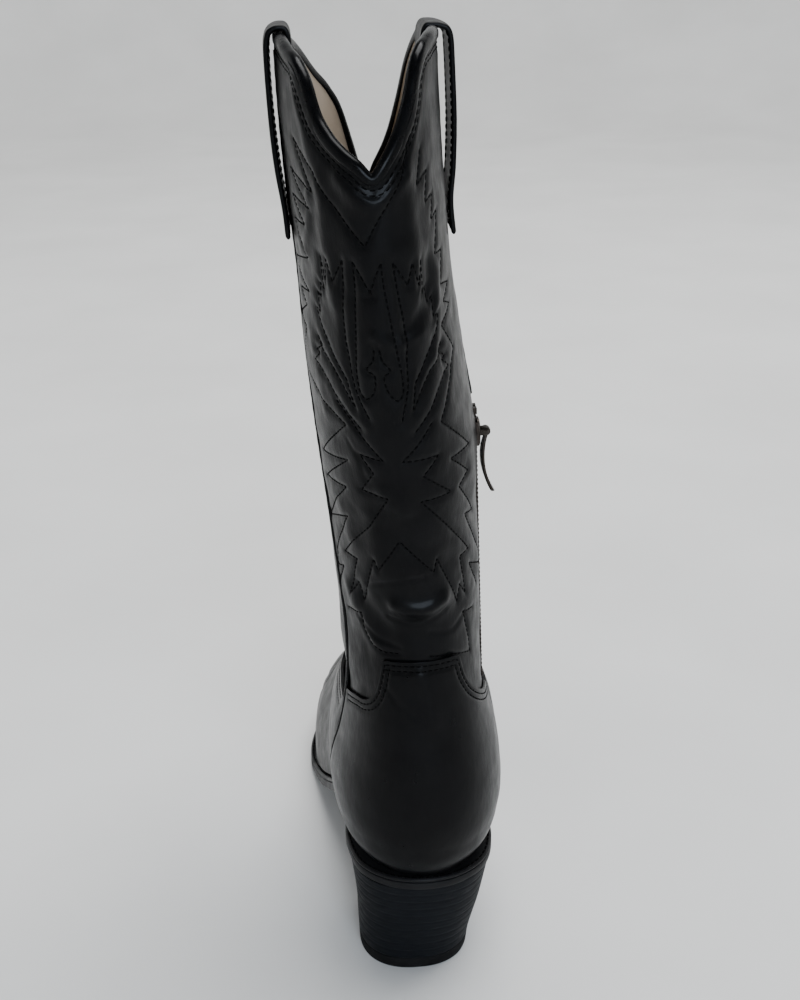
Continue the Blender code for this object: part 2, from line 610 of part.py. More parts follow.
def make_teeth(name, side):
    """One comb: a rail with a tooth each pitch. The other side's teeth stand half a pitch higher."""
    rail_out, rail_in, tip = 0.0032, 0.0022, -0.0010
    length = ZIP_HIGH - ZIP_LOW - 0.004
    outline = [(rail_out, 0.0), (rail_out, length), (rail_in, length)]
    first = TOOTH_PITCH * (0.25 if side > 0 else 0.75)
    count = int((length - first - TOOTH_HEIGHT) / TOOTH_PITCH) + 1
    for k in reversed(range(count)):
        low = first + k * TOOTH_PITCH
        outline += [(rail_in, low + TOOTH_HEIGHT), (tip, low + TOOTH_HEIGHT), (tip, low), (rail_in, low)]
    outline.append((rail_in, 0.0))
    curve = bpy.data.curves.new(name, "CURVE")
    curve.dimensions = "2D"
    curve.fill_mode = "BOTH"
    curve.extrude = 0.0008
    line = curve.splines.new("POLY")
    line.points.add(len(outline) - 1)
    for point, (across, along) in zip(line.points, outline):
        point.co = (side * across, along, 0.0, 1.0)
    line.use_cyclic_u = True
    obj = add_object(name, curve, "gunmetal")
    start = ZIP_LOW + 0.002
    obj.location = (zip_x(start) - 0.0006, ZIP_Y, start)
    obj.rotation_euler = (Matrix.Rotation(-ZIP_LEAN, 4, "Y") @ Matrix.Rotation(math.radians(90), 4, "Z")
                          @ Matrix.Rotation(math.radians(90), 4, "X")).to_euler()
    return obj


def strip_beside_zip(name, material, distances, low, high, depth, thickness):
    """A strip along the zip, between two distances from the medial seam, positive towards the toe."""
    heights = np.linspace(low, high, 14)
    points = [beside_seam(True, d, z, depth) for z in heights for d in distances]
    count = len(distances)
    faces = [(r * count + c, r * count + c + 1, (r + 1) * count + c + 1, (r + 1) * count + c)
             for r in range(len(heights) - 1) for c in range(count - 1)]
    mesh = mesh_from(name, points, faces)
    smooth_shading(mesh)
    solidify(add_object(name, mesh, material), thickness)


def make_zip():
    tape_low, tape_high = ZIP_LOW - 0.003, ZIP_HIGH + 0.003
    strip_beside_zip("zipper_tape_back", "tape", (-0.0125, -0.0095, -0.0065, -0.0035, -0.0006),
                     tape_low, tape_high, *TAPE)
    strip_beside_zip("zipper_tape_front", "tape", (0.0006, 0.0035, 0.0065, 0.0095, 0.0125),
                     tape_low, tape_high, *TAPE)
    strip_beside_zip("zipper_guard", "black_leather", (-0.014, -0.0095, -0.005, -0.0001, 0.005, 0.0095, 0.014),
                     ZIP_LOW - 0.006, ZIP_HIGH + 0.006, *GUARD)
    make_teeth("zipper_teeth_back", -1)
    make_teeth("zipper_teeth_front", 1)
    bar = box_mesh("stop", (-0.0014, -0.0032, -0.0012), (0.0006, 0.0032, 0.0012))
    stop = add_object("zipper_bottom_stop", bar, "gunmetal")
    on_zip(stop, ZIP_LOW)
    for name, y in (("zipper_top_stop_back", -0.0021), ("zipper_top_stop_front", 0.0021)):
        stop = add_object(name, box_mesh("stop", (-0.0014, y - 0.0012, -0.0013), (0.0006, y + 0.0012, 0.0013)),
                          "gunmetal")
        on_zip(stop, ZIP_HIGH)


def make_slider():
    """A channel over the teeth, with a bar on two posts for the pull."""
    body = add_object("zipper_slider", box_mesh("plate", (0.0006, -0.0043, -0.0060), (0.0018, 0.0043, 0.0060)),
                      "gunmetal")
    parts = [box_mesh("flange", (-0.0014, -0.0043, -0.0052), (0.0012, -0.0036, 0.0052)),
             box_mesh("flange", (-0.0014, 0.0036, -0.0052), (0.0012, 0.0043, 0.0052)),
             box_mesh("post", (0.0012, -0.0031, -0.0011), (0.0056, -0.0021, 0.0011)),
             box_mesh("post", (0.0012, 0.0021, -0.0011), (0.0056, 0.0031, 0.0011))]
    bar = cylinder_mesh("bar", 0.0008, -0.0026, 0.0026, 12, "Y")
    bar.transform(Matrix.Translation((BAR_STANDOFF, 0, 0)))
    for mesh in parts + [bar]:
        piece = add_object(mesh.name, mesh, "gunmetal")
        hide_as_tool(piece)
        on_zip(piece, SLIDER_Z)
        join(body, piece)
    on_zip(body, SLIDER_Z)


def make_pull():
    """An eye round the slider's bar and a long tab that curves away from the boot. Its origin is on the bar."""
    def at_bar(obj):
        obj.location = (zip_x(SLIDER_Z) + BAR_STANDOFF * math.cos(ZIP_LEAN), ZIP_Y,
                        SLIDER_Z + BAR_STANDOFF * math.sin(ZIP_LEAN))

    eye = add_object("zipper_pull", cylinder_mesh("eye", 0.0021, -0.0017, 0.0017, 20, "Y"), "gunmetal")
    hole = add_object("eye_hole", cylinder_mesh("hole", 0.00118, -0.003, 0.003, 16, "Y"), "gunmetal")
    length, half_width, steps = 0.0315, 0.0034, 9
    points = []
    for k in range(steps + 1):
        t = k / steps
        out = 0.0004 + 0.0046 * t**2 - 0.0012 * t
        width = half_width * (0.50 + 0.50 * min(1.0, 3.2 * t)) * (1.0 if t < 0.97 else 0.80)
        points += [(out, -width, -0.0016 - length * t), (out, 0.0, -0.0016 - length * t),
                   (out, width, -0.0016 - length * t)]
    faces = [(3 * r + c, 3 * r + c + 1, 3 * r + c + 4, 3 * r + c + 3) for r in range(steps) for c in range(2)]
    tab = add_object("pull_tab", mesh_from("tab", points, faces), "gunmetal")
    solidify(tab, 0.0011, 0.0)
    for piece in (eye, hole, tab):
        at_bar(piece)
    hide_as_tool(hole)
    hide_as_tool(tab)
    join(eye, tab)
    cut(eye, hole)


# ---------------------------------------------------------------- sole
def sole_point(x, y, rise):
    """A point a rise above the outsole's bottom face, square to the sole's side profile."""
    dy = 0.0005
    slope = (through(SEAT, y + dy, True) - through(SEAT, y - dy, True)) / (2 * dy)
    bottom = through(SEAT, y, True) - SEAT_RISE
    scale = rise / np.sqrt(1 + slope**2)
    return np.stack([x + 0 * y, y - slope * scale, bottom + scale], axis=-1)


def slab(name, material, loop, rise, thickness, y_range=None):
    """A flat outline, cut into strips across the boot, bent to the sole's profile and thickened upwards."""
    bm = bmesh.new()
    bm.faces.new([bm.verts.new((x, y, 0.0)) for x, y in loop])
    if y_range:
        for y, normal in zip(y_range, ((0, -1, 0), (0, 1, 0))):
            geometry = list(bm.verts) + list(bm.edges) + list(bm.faces)
            bmesh.ops.bisect_plane(bm, geom=geometry, plane_co=(0, y, 0), plane_no=normal, clear_outer=True)
    low = min(v.co.y for v in bm.verts)
    high = max(v.co.y for v in bm.verts)
    for k in range(math.ceil(low / SLAB_STEP), math.floor(high / SLAB_STEP) + 1):
        geometry = list(bm.verts) + list(bm.edges) + list(bm.faces)
        bmesh.ops.bisect_plane(bm, geom=geometry, dist=1e-5, plane_co=(0, k * SLAB_STEP, 0), plane_no=(0, 1, 0))
    for vert in bm.verts:
        vert.co = Vector(sole_point(np.float64(vert.co.x), np.float64(vert.co.y), rise))
    bmesh.ops.recalc_face_normals(bm, faces=bm.faces)
    if sum(f.normal.z for f in bm.faces) < 0:
        bmesh.ops.reverse_faces(bm, faces=bm.faces)
    mesh = bpy.data.meshes.new(name)
    bm.to_mesh(mesh)
    bm.free()
    obj = add_object(name, mesh, material)
    solidify(obj, thickness, 1.0)
    return obj


def feather_loop():
    """The line where the upper meets the sole, anticlockwise from the back of the heel."""
    arc = np.linspace(0, 1, 13)
    heel = form(False, arc, 0.056)
    v = np.linspace(0.084, -0.043, 16)
    medial, lateral = form(True, 1.0, v), form(True, 0.0, v)
    return np.concatenate([heel[6:], medial, lateral[::-1], heel[:6]])[:, :2]


def make_welt(loop):
    """A narrow strip round the edge, between the outsole and the upper."""
    rings = [inset_loop(loop, d)[:, :2] for d in (0.0, WELT_WIDTH / 2, WELT_WIDTH)]
    points = np.concatenate([sole_point(r[:, 0], r[:, 1], WELT_RISE) for r in rings])
    n = len(loop)
    faces = [(b * n + k, b * n + (k + 1) % n, (b + 1) * n + (k + 1) % n, (b + 1) * n + k)
             for b in range(2) for k in range(n)]
    obj = add_object("welt", mesh_from("welt", points, faces), "sole")
    solidify(obj, WELT_THICKNESS, 1.0)


def bore(targets, radius, place, low, high, axis=None):
    """Cuts one round hole through each target."""
    tool = add_object("bore", cylinder_mesh("bore", radius, low, high, 12), "steel")
    tool.location = place
    if axis is not None:
        tool.rotation_euler = axis
    hide_as_tool(tool)
    for target in targets:
        cut(target, tool)


def turned(name, material, profile, place, axis=None, segments=12):
    """A turned piece from (radius, height) points, listed from the top down its outer side."""
    mesh = mesh_from(name, [(r, 0.0, z) for r, z in profile], [])
    bm = bmesh.new()
    bm.from_mesh(mesh)
    bm.verts.ensure_lookup_table()
    for a, b in zip(bm.verts[:-1], bm.verts[1:]):
        bm.edges.new((a, b))
    bm.to_mesh(mesh)
    bm.free()
    obj = add_object(name, mesh, material)
    obj.location = place
    if axis is not None:
        obj.rotation_euler = axis
    modifier = obj.modifiers.new("turn", "SCREW")
    modifier.steps = modifier.render_steps = segments
    modifier.use_merge_vertices = True
    modifier.merge_threshold = 0.00001
    return obj


def nail_profile(radius, head_radius, head_top, head_height, tip):
    return ((0.0, head_top), (head_radius, head_top), (head_radius, head_top - head_height),
            (radius, head_top - head_height), (radius, tip + 2 * radius), (0.0, tip))


def heel_loop(section, count=10):
    """A heel section: a half round back, straight sides and a slightly hollow breast."""
    z, middle, half_width, back, breast = section
    round_depth = half_width * 0.95
    points = []
    for k in range(2 * count + 1):
        angle = math.pi * k / (2 * count)
        spread = math.copysign(abs(math.cos(angle)) ** 0.85, math.cos(angle))
        points.append((middle + half_width * spread, back + round_depth * (1 - math.sin(angle) ** 0.9), z))
    for k in range(1, 6):
        t = k / 6
        points.append((middle - half_width * (1 - 2 * t) * 0.985, breast - 0.005 * math.sin(math.pi * t), z))
    first, last = points[0], points[2 * count]
    points.insert(2 * count + 1, (last[0], breast, z))
    points.append((first[0], breast, z))
    return points


def heel_piece(name, material, sections):
    loops = [heel_loop(s) for s in sections]
    n = len(loops[0])
    points = [p for loop in loops for p in loop]
    faces = [tuple(range(n)), tuple(reversed(range((len(loops) - 1) * n, len(loops) * n)))]
    for r in range(len(loops) - 1):
        faces += [(r * n + k, (r + 1) * n + k, (r + 1) * n + (k + 1) % n, r * n + (k + 1) % n)
                  for k in range(n)]
    mesh = mesh_from(name, points, faces)
    bm = bmesh.new()
    bm.from_mesh(mesh)
    bmesh.ops.recalc_face_normals(bm, faces=bm.faces)
    bm.to_mesh(mesh)
    bm.free()
    return add_object(name, mesh, material)


def make_sole():
    outline = closed_spline(OUTLINE, 3)
    feather = feather_loop()
    outsole = slab("outsole", "sole", outline, 0.0, OUTSOLE_THICKNESS)
    make_welt(outline)
    inner = inset_loop(outline, WELT_WIDTH + 0.0006)
    slab("cork_filler", "cork", inner, WELT_RISE, CORK_THICKNESS, CORK_Y)
    low, high = SHANK_Y
    shank_loop = [(-SHANK_HALF_WIDTH, low), (SHANK_HALF_WIDTH, low),
                  (SHANK_HALF_WIDTH, high), (-SHANK_HALF_WIDTH, high)]
    shank = slab("shank", "steel", shank_loop, SHANK_RISE, SHANK_THICKNESS)
    board = slab("insole_board", "insole_board", inset_loop(feather, 0.0044), BOARD_RISE, BOARD_THICKNESS)
    slab("insock", "lining", inset_loop(feather, 0.0052), INSOCK_RISE, INSOCK_THICKNESS)
    block = heel_piece("heel_block", "heel_stack", HEEL_BLOCK)
    lift = heel_piece("heel_top_lift", "rubber", HEEL_LIFT)
    bottom = HEEL_SEAT_Z - SEAT_RISE
    head_top = bottom + BOARD_RISE + BOARD_THICKNESS + 0.0008
    for index, (x, y) in enumerate(NAILS):
        turned(f"heel_nail_{index + 1}", "steel",
               nail_profile(NAIL_R, NAIL_HEAD_R, head_top, 0.0007, NAIL_TIP_Z), (x, y, 0.0))
        targets = (outsole, board, block, shank) if abs(x) < 0.009 else (outsole, board, block)
        bore(targets, NAIL_R + BORE_CLEARANCE, (x, y, 0.0), NAIL_TIP_Z - 0.001, 0.064)
    turned("heel_screw", "steel", nail_profile(SCREW_R, SCREW_HEAD_R, head_top, 0.0007, SCREW_TIP_Z),
           (*SCREW_AT, 0.0))
    bore((outsole, board, block, shank), SCREW_R + BORE_CLEARANCE, (*SCREW_AT, 0.0), SCREW_TIP_Z - 0.001, 0.064)
    for index, (x, y) in enumerate(LIFT_PINS):
        turned(f"top_lift_pin_{index + 1}", "steel",
               ((0.0, 0.019), (0.0004, 0.0185), (0.0012, 0.016), (0.0012, 0.0004), (0.0, 0.0004)), (x, y, 0.0))
        bore((block, lift), 0.0012 + BORE_CLEARANCE, (x, y, 0.0), -0.002, 0.020)
    for index, y in enumerate(RIVET_Y):
        make_shank_rivet(index + 1, y, (shank, board))


def make_shank_rivet(number, y, targets):
    """A rivet that holds the shank under the insole board, square to the sole's slope."""
    middle = (SHANK_RISE + BOARD_RISE + BOARD_THICKNESS) / 2
    half = (BOARD_RISE + BOARD_THICKNESS - SHANK_RISE) / 2
    place = sole_point(np.float64(0.0), np.float64(y), middle)
    normal = sole_point(np.float64(0.0), np.float64(y), middle + 0.001) - place
    tilt = math.atan2(-normal[1], normal[2])
    place = tuple(float(c) for c in place)
    turned(f"shank_rivet_{number}", "steel",
           ((0.0, half + RIVET_HEAD), (RIVET_HEAD_R, half + RIVET_HEAD), (RIVET_HEAD_R, half + GAP),
            (RIVET_R, half + GAP), (RIVET_R, -half - 0.0002), (0.0, -half - 0.0002)), place, (tilt, 0.0, 0.0))
    bore(targets, RIVET_R + BORE_CLEARANCE, place, -half - 0.002, half + 0.002, (tilt, 0.0, 0.0))


make_shaft()
make_foot()
make_piping()
make_binding()
make_strap("pull_strap_lateral", False)
make_strap("pull_strap_medial", True)
make_zip()
make_slider()
make_pull()
make_sole()
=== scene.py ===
"""Looks of the left cowboy boot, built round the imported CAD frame.

The toe points along +Y, the inner ankle with the zip faces +X. The leather pieces are fine grids on a form
like that of the CAD shells, which is wider at the top and has its own back dip and counter edge. They are
raised and sunk along their stitch lines and folds. Everything is in metres.
"""

import json
import math
from itertools import product

import bpy
import numpy as np
from mathutils import Matrix, Vector, noise
from mathutils.kdtree import KDTree


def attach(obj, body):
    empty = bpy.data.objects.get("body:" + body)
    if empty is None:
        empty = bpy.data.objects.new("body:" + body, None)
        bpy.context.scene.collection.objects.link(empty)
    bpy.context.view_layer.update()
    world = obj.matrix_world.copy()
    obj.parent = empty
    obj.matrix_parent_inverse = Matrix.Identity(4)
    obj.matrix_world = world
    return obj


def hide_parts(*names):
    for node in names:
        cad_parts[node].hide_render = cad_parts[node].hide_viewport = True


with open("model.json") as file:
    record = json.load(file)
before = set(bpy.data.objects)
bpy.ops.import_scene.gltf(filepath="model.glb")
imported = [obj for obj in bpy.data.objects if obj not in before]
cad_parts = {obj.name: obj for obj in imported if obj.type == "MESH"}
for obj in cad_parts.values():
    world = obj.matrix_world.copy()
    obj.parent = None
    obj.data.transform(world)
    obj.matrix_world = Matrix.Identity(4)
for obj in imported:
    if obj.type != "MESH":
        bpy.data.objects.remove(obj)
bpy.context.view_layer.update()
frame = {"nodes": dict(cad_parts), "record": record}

# ---------------------------------------------------------------- driving dimensions
LAST_ORIGIN = np.array([0.00529, -0.1355, 0.0])   # the last's own origin in the row frame

PANEL = (0.0, 0.0018)       # depth under the form, and thickness, of each layer
COVER = (-0.0019, 0.0014)
TAPE = (0.0021, 0.0005)
LINING = (0.0029, 0.0008)

SEAM_SETBACK = 0.0013       # from a side seam to a panel's edge
ZIP_SETBACK = 0.0050
FEATHER_SETBACK = 0.0020
FEATHER_TOP = 0.089
TOE_SHARE = 0.15
PIPING_R = 0.0011

ZIP_LOW, ZIP_HIGH = 0.131, 0.2575
ZIP_Y = 0.050
SLIDER_Z = 0.2475
BAR_STANDOFF = 0.0044
TOOTH_PITCH = 0.0021

STRAP_WIDTH = 0.024
STRAP_THICKNESS = 0.0020
STRAP_END_Z = 0.331
STRAP_STANDOFF = 0.0012
STRAP_Y = 0.061
STRAP_CURVE = 0.075
STRAP_CUP = 0.030
STRAP_CREST = 0.4054        # height of the binding's crest under a strap
STRAP_TURN = 0.00255        # from that crest to the strap's inner face
STRAP_EDGE = 0.0008         # how far in from its sides a strap is rounded

OUTSOLE_THICKNESS = 0.0040
WELT_THICKNESS = 0.0018
WELT_WIDTH = 0.0105
SEAT_RISE = 0.0066
WELT_RISE = OUTSOLE_THICKNESS + 0.0003

THREAD_R = 0.00032
STITCH = 0.0026             # from the start of one stitch to the start of the next, on the figures
TOP_STITCH, TOP_THREAD_R = 0.0030, 0.00030
COUNTER_STITCH = 0.0027
VAMP_STITCH = 0.0028
STRAP_STITCH = 0.0028
WELT_STITCH, WELT_THREAD_R = 0.0032, 0.00042
STITCH_SHARE = 0.78

# Each stitch groove: depth and width of the soft sink along its row, and depth of the cut under the thread
LINE_GROOVE = (0.00034, 0.0016, 0.00026)
FEATHER_GROOVE = (0.00062, 0.0022, 0.00026)
TOE_GROOVE = (0.00045, 0.0019, 0.00026)
TOP_GROOVE = (0.00030, 0.0011, 0.00018)
COVER_GROOVE = (0.00035, 0.0012, 0.00020)
CUT_WIDTH = 0.00055

TOP_ROWS = (0.0036, 0.0053)         # distances of the stitch rows from each edge
COUNTER_ROWS = (0.0019, 0.0042)
VAMP_ROWS = (0.0021, 0.0044)
ROW_START, ROW_END = 0.03, 0.97     # where these rows begin and end, as u
STRAP_ROW = 0.0024
EDGE_GAP = 0.0002                   # from the scalloped edge down to the leather's own edge
LINING_SETBACK = 0.0006
SEAM_ROLL_WIDTH, SEAM_ROLL_DEPTH = 0.0019, 0.0007


# Shaft stations: height, middle x, half width, back y, front y, lateral seam y, medial seam y
SHAFT = (
    (0.150, -0.0010, 0.0309, 0.005, 0.108, 0.040, 0.050),
    (0.168, -0.0015, 0.0309, 0.007, 0.106, 0.041, 0.050),
    (0.187, -0.0024, 0.0312, 0.006, 0.106, 0.043, 0.050),
    (0.218, -0.0041, 0.0321, 0.002, 0.111, 0.047, 0.050),
    (0.253, -0.0063, 0.0333, -0.003, 0.118, 0.052, 0.050),
    (0.287, -0.0105, 0.0319, -0.007, 0.125, 0.056, 0.054),
    (0.320, -0.0136, 0.0306, -0.010, 0.130, 0.059, 0.060),
    (0.354, -0.0164, 0.0307, -0.012, 0.134, 0.061, 0.061),
    (0.385, -0.0181, 0.0305, -0.013, 0.136, 0.061, 0.061),
    (0.410, -0.0186, 0.0304, -0.014, 0.137, 0.061, 0.061),
)

# Heel stations: height, lateral edge, medial edge, rear crown (x, y), edge fullness, crown fullness, flare
HEEL = (
    (0.056, (-0.0295, 0.063), (0.0290, 0.063), (0.0, 0.0045), 0.62, 0.66, 0.0),
    (0.063, (-0.0345, 0.062), (0.0345, 0.062), (0.0, 0.0), 0.62, 0.66, 0.0),
    (0.075, (-0.0375, 0.060), (0.0380, 0.060), (0.0, -0.0035), 0.60, 0.64, 0.0),
    (0.092, (-0.0370, 0.052), (0.0370, 0.056), (0.0002, -0.005), 0.60, 0.62, 0.0015),
    (0.110, (-0.0332, 0.046), (0.0343, 0.0525), (0.0005, -0.003), 0.58, 0.60, 0.0025),
    (0.127, (-0.0304, 0.042), (0.0306, 0.050), (0.0, 0.0005), 0.57, 0.58, 0.0035),
)

# Foot stations: v, lateral edge, medial edge, ridge over the instep, edge fullness, ridge fullness, flare
FOOT = (
    (-0.044, (-0.0025, 0.279, 0.0143), (0.0068, 0.279, 0.0143), (0.0023, 0.2796, 0.0148), 0.30, 0.60, 0.0),
    (-0.041, (-0.0045, 0.277, 0.0140), (0.0085, 0.277, 0.0140), (0.0025, 0.2775, 0.0210), 0.50, 0.60, 0.001),
    (-0.036, (-0.0090, 0.271, 0.0131), (0.0125, 0.271, 0.0131), (0.0025, 0.2705, 0.0300), 0.62, 0.68, 0.0015),
    (-0.028, (-0.0160, 0.260, 0.0114), (0.0185, 0.260, 0.0114), (0.0025, 0.260, 0.037), 0.66, 0.70, 0.002),
    (-0.015, (-0.0265, 0.240, 0.0090), (0.0275, 0.240, 0.0090), (0.002, 0.245, 0.044), 0.66, 0.70, 0.0025),
    (0.000, (-0.0365, 0.215, 0.0070), (0.0350, 0.215, 0.0070), (0.0015, 0.229, 0.050), 0.66, 0.70, 0.0025),
    (0.015, (-0.0435, 0.190, 0.0067), (0.0395, 0.192, 0.0067), (0.001, 0.213, 0.057), 0.64, 0.68, 0.0025),
    (0.030, (-0.0450, 0.165, 0.0083), (0.0390, 0.168, 0.0083), (0.0005, 0.198, 0.0655), 0.62, 0.66, 0.0025),
    (0.045, (-0.0420, 0.140, 0.0165), (0.0335, 0.140, 0.0165), (0.0, 0.184, 0.0755), 0.60, 0.64, 0.004),
    (0.060, (-0.0370, 0.115, 0.0300), (0.0285, 0.115, 0.0300), (0.0, 0.172, 0.085), 0.58, 0.62, 0.006),
    (0.075, (-0.0330, 0.090, 0.0450), (0.0265, 0.090, 0.0450), (0.0, 0.160, 0.095), 0.58, 0.62, 0.008),
    (0.090, (-0.0295, 0.063, 0.0560), (0.0290, 0.063, 0.0560), (0.0, 0.149, 0.104), 0.56, 0.62, 0.009),
    (0.105, (-0.0375, 0.060, 0.0750), (0.0380, 0.060, 0.0750), (0.0, 0.138, 0.114), 0.56, 0.62, 0.003),
    (0.120, (-0.0353, 0.0485, 0.1010), (0.0360, 0.054, 0.1010), (0.0, 0.127, 0.124), 0.56, 0.60, 0.002),
    (0.135, (-0.0304, 0.042, 0.1270), (0.0306, 0.050, 0.1270), (-0.0008, 0.116, 0.136), 0.56, 0.58, 0.0),
)

# Height of the scalloped top edge against u, the way round each half from the lateral to the medial seam
BACK_EDGE = ((0.0, 0.4055), (0.08, 0.4050), (0.15, 0.4025), (0.215, 0.3990), (0.252, 0.3935),
             (0.283, 0.3850), (0.333, 0.3775), (0.388, 0.3725), (0.447, 0.3685), (0.50, 0.3643),
             (0.555, 0.3695), (0.593, 0.3742), (0.642, 0.3815), (0.684, 0.3900), (0.715, 0.3985),
             (0.75, 0.4035), (0.80, 0.4060), (1.0, 0.4065))
FRONT_EDGE = ((0.0, 0.4055), (0.10, 0.4025), (0.20, 0.3960), (0.30, 0.3850), (0.37, 0.3775),
              (0.43, 0.3670), (0.47, 0.3530), (0.50, 0.3410), (0.535, 0.3365), (0.60, 0.3450),
              (0.69, 0.3600), (0.755, 0.3755), (0.82, 0.3920), (0.89, 0.4025), (1.0, 0.4065))

# Counter cover's upper edge (u, height): a flat-topped tongue between two low rounded wings
COUNTER_EDGE = ((0.0, 0.1315), (0.06, 0.1342), (0.12, 0.1368), (0.18, 0.1385), (0.23, 0.1418),
                (0.262, 0.1467), (0.281, 0.1530), (0.296, 0.1597), (0.325, 0.1620), (0.36, 0.1625),
                (0.64, 0.1625), (0.675, 0.1620), (0.704, 0.1592), (0.720, 0.1530), (0.745, 0.1470),
                (0.785, 0.1414), (0.83, 0.1370), (0.88, 0.1330), (0.94, 0.1295), (1.0, 0.1268))

# Vamp's upper edge, as v against u: a pointed tongue up the instep
VAMP_EDGE = ((0.0, 0.133), (0.10, 0.128), (0.22, 0.121), (0.34, 0.124), (0.43, 0.137), (0.50, 0.146),
             (0.57, 0.137), (0.66, 0.124), (0.78, 0.121), (0.90, 0.127), (1.0, 0.132))

# Height of the sole's top face along the boot
SEAT = ((-0.02, 0.056), (0.058, 0.056), (0.070, 0.0540), (0.090, 0.0455), (0.115, 0.030), (0.140, 0.0165),
        (0.165, 0.0081), (0.175, 0.0066), (0.208, 0.0066),
        (0.225, 0.0076), (0.240, 0.0090), (0.260, 0.0113), (0.290, 0.0158))

# Outsole outline, anticlockwise from the back of the heel
OUTLINE = ((0.0, 0.0), (0.016, 0.0035), (0.0285, 0.0145), (0.0335, 0.032), (0.0320, 0.052), (0.0290, 0.075),
           (0.0285, 0.095), (0.0320, 0.120), (0.0405, 0.155), (0.0440, 0.185), (0.0405, 0.214),
           (0.0335, 0.240), (0.0230, 0.263), (0.0110, 0.279), (0.0025, 0.2835), (-0.0065, 0.279),
           (-0.0210, 0.261), (-0.0325, 0.239), (-0.0425, 0.214), (-0.0488, 0.190), (-0.0500, 0.170),
           (-0.0470, 0.148),
           (-0.0410, 0.110), (-0.0365, 0.080), (-0.0342, 0.052), (-0.0337, 0.032), (-0.0285, 0.0145),
           (-0.016, 0.0035))


# ---------------------------------------------------------------- curves through stations
def spline(knots, values, t, keep_flats=False):
    """Cubic Hermite curve through values at knots; keep_flats stops it from overshooting level stretches."""
    knots, values = np.asarray(knots, float), np.asarray(values, float)
    tail = (1,) * (values.ndim - 1)
    t = np.clip(np.asarray(t, float), knots[0], knots[-1])
    step = np.diff(knots).reshape(-1, *tail)
    rise = np.diff(values, axis=0) / step
    slope = np.empty_like(values)
    slope[0], slope[-1] = rise[0], rise[-1]
    slope[1:-1] = (rise[:-1] * step[1:] + rise[1:] * step[:-1]) / (step[1:] + step[:-1])
    if keep_flats:
        product = rise[:-1] * rise[1:]
        harmonic = 2 * product / np.where(product > 0, rise[:-1] + rise[1:], 1.0)
        slope[1:-1] = np.where(product > 0, harmonic, 0.0)
    i = np.clip(np.searchsorted(knots, t) - 1, 0, len(knots) - 2)
    width = knots[i + 1] - knots[i]
    s = ((t - knots[i]) / width).reshape(t.shape + tail)
    width = width.reshape(t.shape + tail)
    return ((2 * s**3 - 3 * s**2 + 1) * values[i] + (s**3 - 2 * s**2 + s) * width * slope[i]
            + (3 * s**2 - 2 * s**3) * values[i + 1] + (s**3 - s**2) * width * slope[i + 1])


def unit(vectors):
    return vectors / np.linalg.norm(vectors, axis=-1, keepdims=True)


def distance_along(points):
    """Distance from the first point to each, along the line through them."""
    return np.concatenate([[0.0], np.cumsum(np.linalg.norm(np.diff(points, axis=0), axis=1))])


def through(pairs, t, keep_flats=False):
    knots, values = zip(*pairs)
    return spline(knots, values, t, keep_flats)


def closed_spline(points, per_span):
    """Catmull-Rom loop through points."""
    p = np.asarray(points, float)
    before, after, beyond = np.roll(p, 1, 0), np.roll(p, -1, 0), np.roll(p, -2, 0)
    loop = []
    for k in range(per_span):
        t = k / per_span
        loop.append(0.5 * (2 * p + (after - before) * t + (2 * before - 5 * p + 4 * after - beyond) * t**2
                           + (3 * p - before - 3 * after + beyond) * t**3))
    return np.stack(loop, axis=1).reshape(-1, p.shape[1])


def inset_loop(loop, distance):
    """Moves an anticlockwise loop inwards in XY."""
    along = np.roll(loop, -1, 0) - np.roll(loop, 1, 0)
    along /= np.linalg.norm(along[:, :2], axis=1, keepdims=True)
    inward = np.stack([-along[:, 1], along[:, 0]], axis=1)
    moved = loop.copy()
    moved[:, :2] += inward * distance
    return moved


# ---------------------------------------------------------------- the form of the upper
def half_section(lateral, lateral_handle, crown, crown_handle_l, crown_handle_m, medial, medial_handle):
    """Seven control points of two Bezier arcs: lateral edge, crown, medial edge."""
    points = [lateral, lateral + lateral_handle, crown - crown_handle_l, crown,
              crown + crown_handle_m, medial + medial_handle, medial]
    return np.array(points, float)


def shaft_section(station, front):
    """Half of an ellipse, as arcs from the lateral seam over the crown to the medial seam."""
    z, middle, half_width, back, fore, lateral_y, medial_y = station
    centre_y, half_depth = (back + fore) / 2, (fore - back) / 2
    side = 1.0 if front else -1.0

    def at(angle, sx):
        return np.array([middle + sx * half_width * math.cos(angle),
                         centre_y + half_depth * math.sin(angle), z])

    def tangent(angle, sx):
        return np.array([-sx * half_width * math.sin(angle), half_depth * math.cos(angle), 0.0])

    lateral_angle = math.asin((lateral_y - centre_y) / half_depth)
    medial_angle = math.asin((medial_y - centre_y) / half_depth)
    k_l = 4 / 3 * math.tan((math.pi / 2 - side * lateral_angle) / 4)
    k_m = 4 / 3 * math.tan((math.pi / 2 - side * medial_angle) / 4)
    crown = np.array([middle, fore if front else back, z])
    return half_section(at(lateral_angle, -1), side * k_l * tangent(lateral_angle, -1), crown,
                        np.array([k_l * half_width, 0, 0]), np.array([k_m * half_width, 0, 0]),
                        at(medial_angle, 1), side * k_m * tangent(medial_angle, 1))


def heel_section(station):
    z, lateral, medial, crown, edge_full, crown_full, flare = station
    lateral, medial, crown = (np.array([*p, z]) for p in (lateral, medial, crown))
    sweep = np.array([crown_full * (medial[0] - lateral[0]) / 2, 0, 0])
    lateral_handle = np.array([flare, -edge_full * (lateral[1] - crown[1]), 0])
    medial_handle = np.array([0, -edge_full * (medial[1] - crown[1]), 0])
    return half_section(lateral, lateral_handle, crown, sweep, sweep, medial, medial_handle)


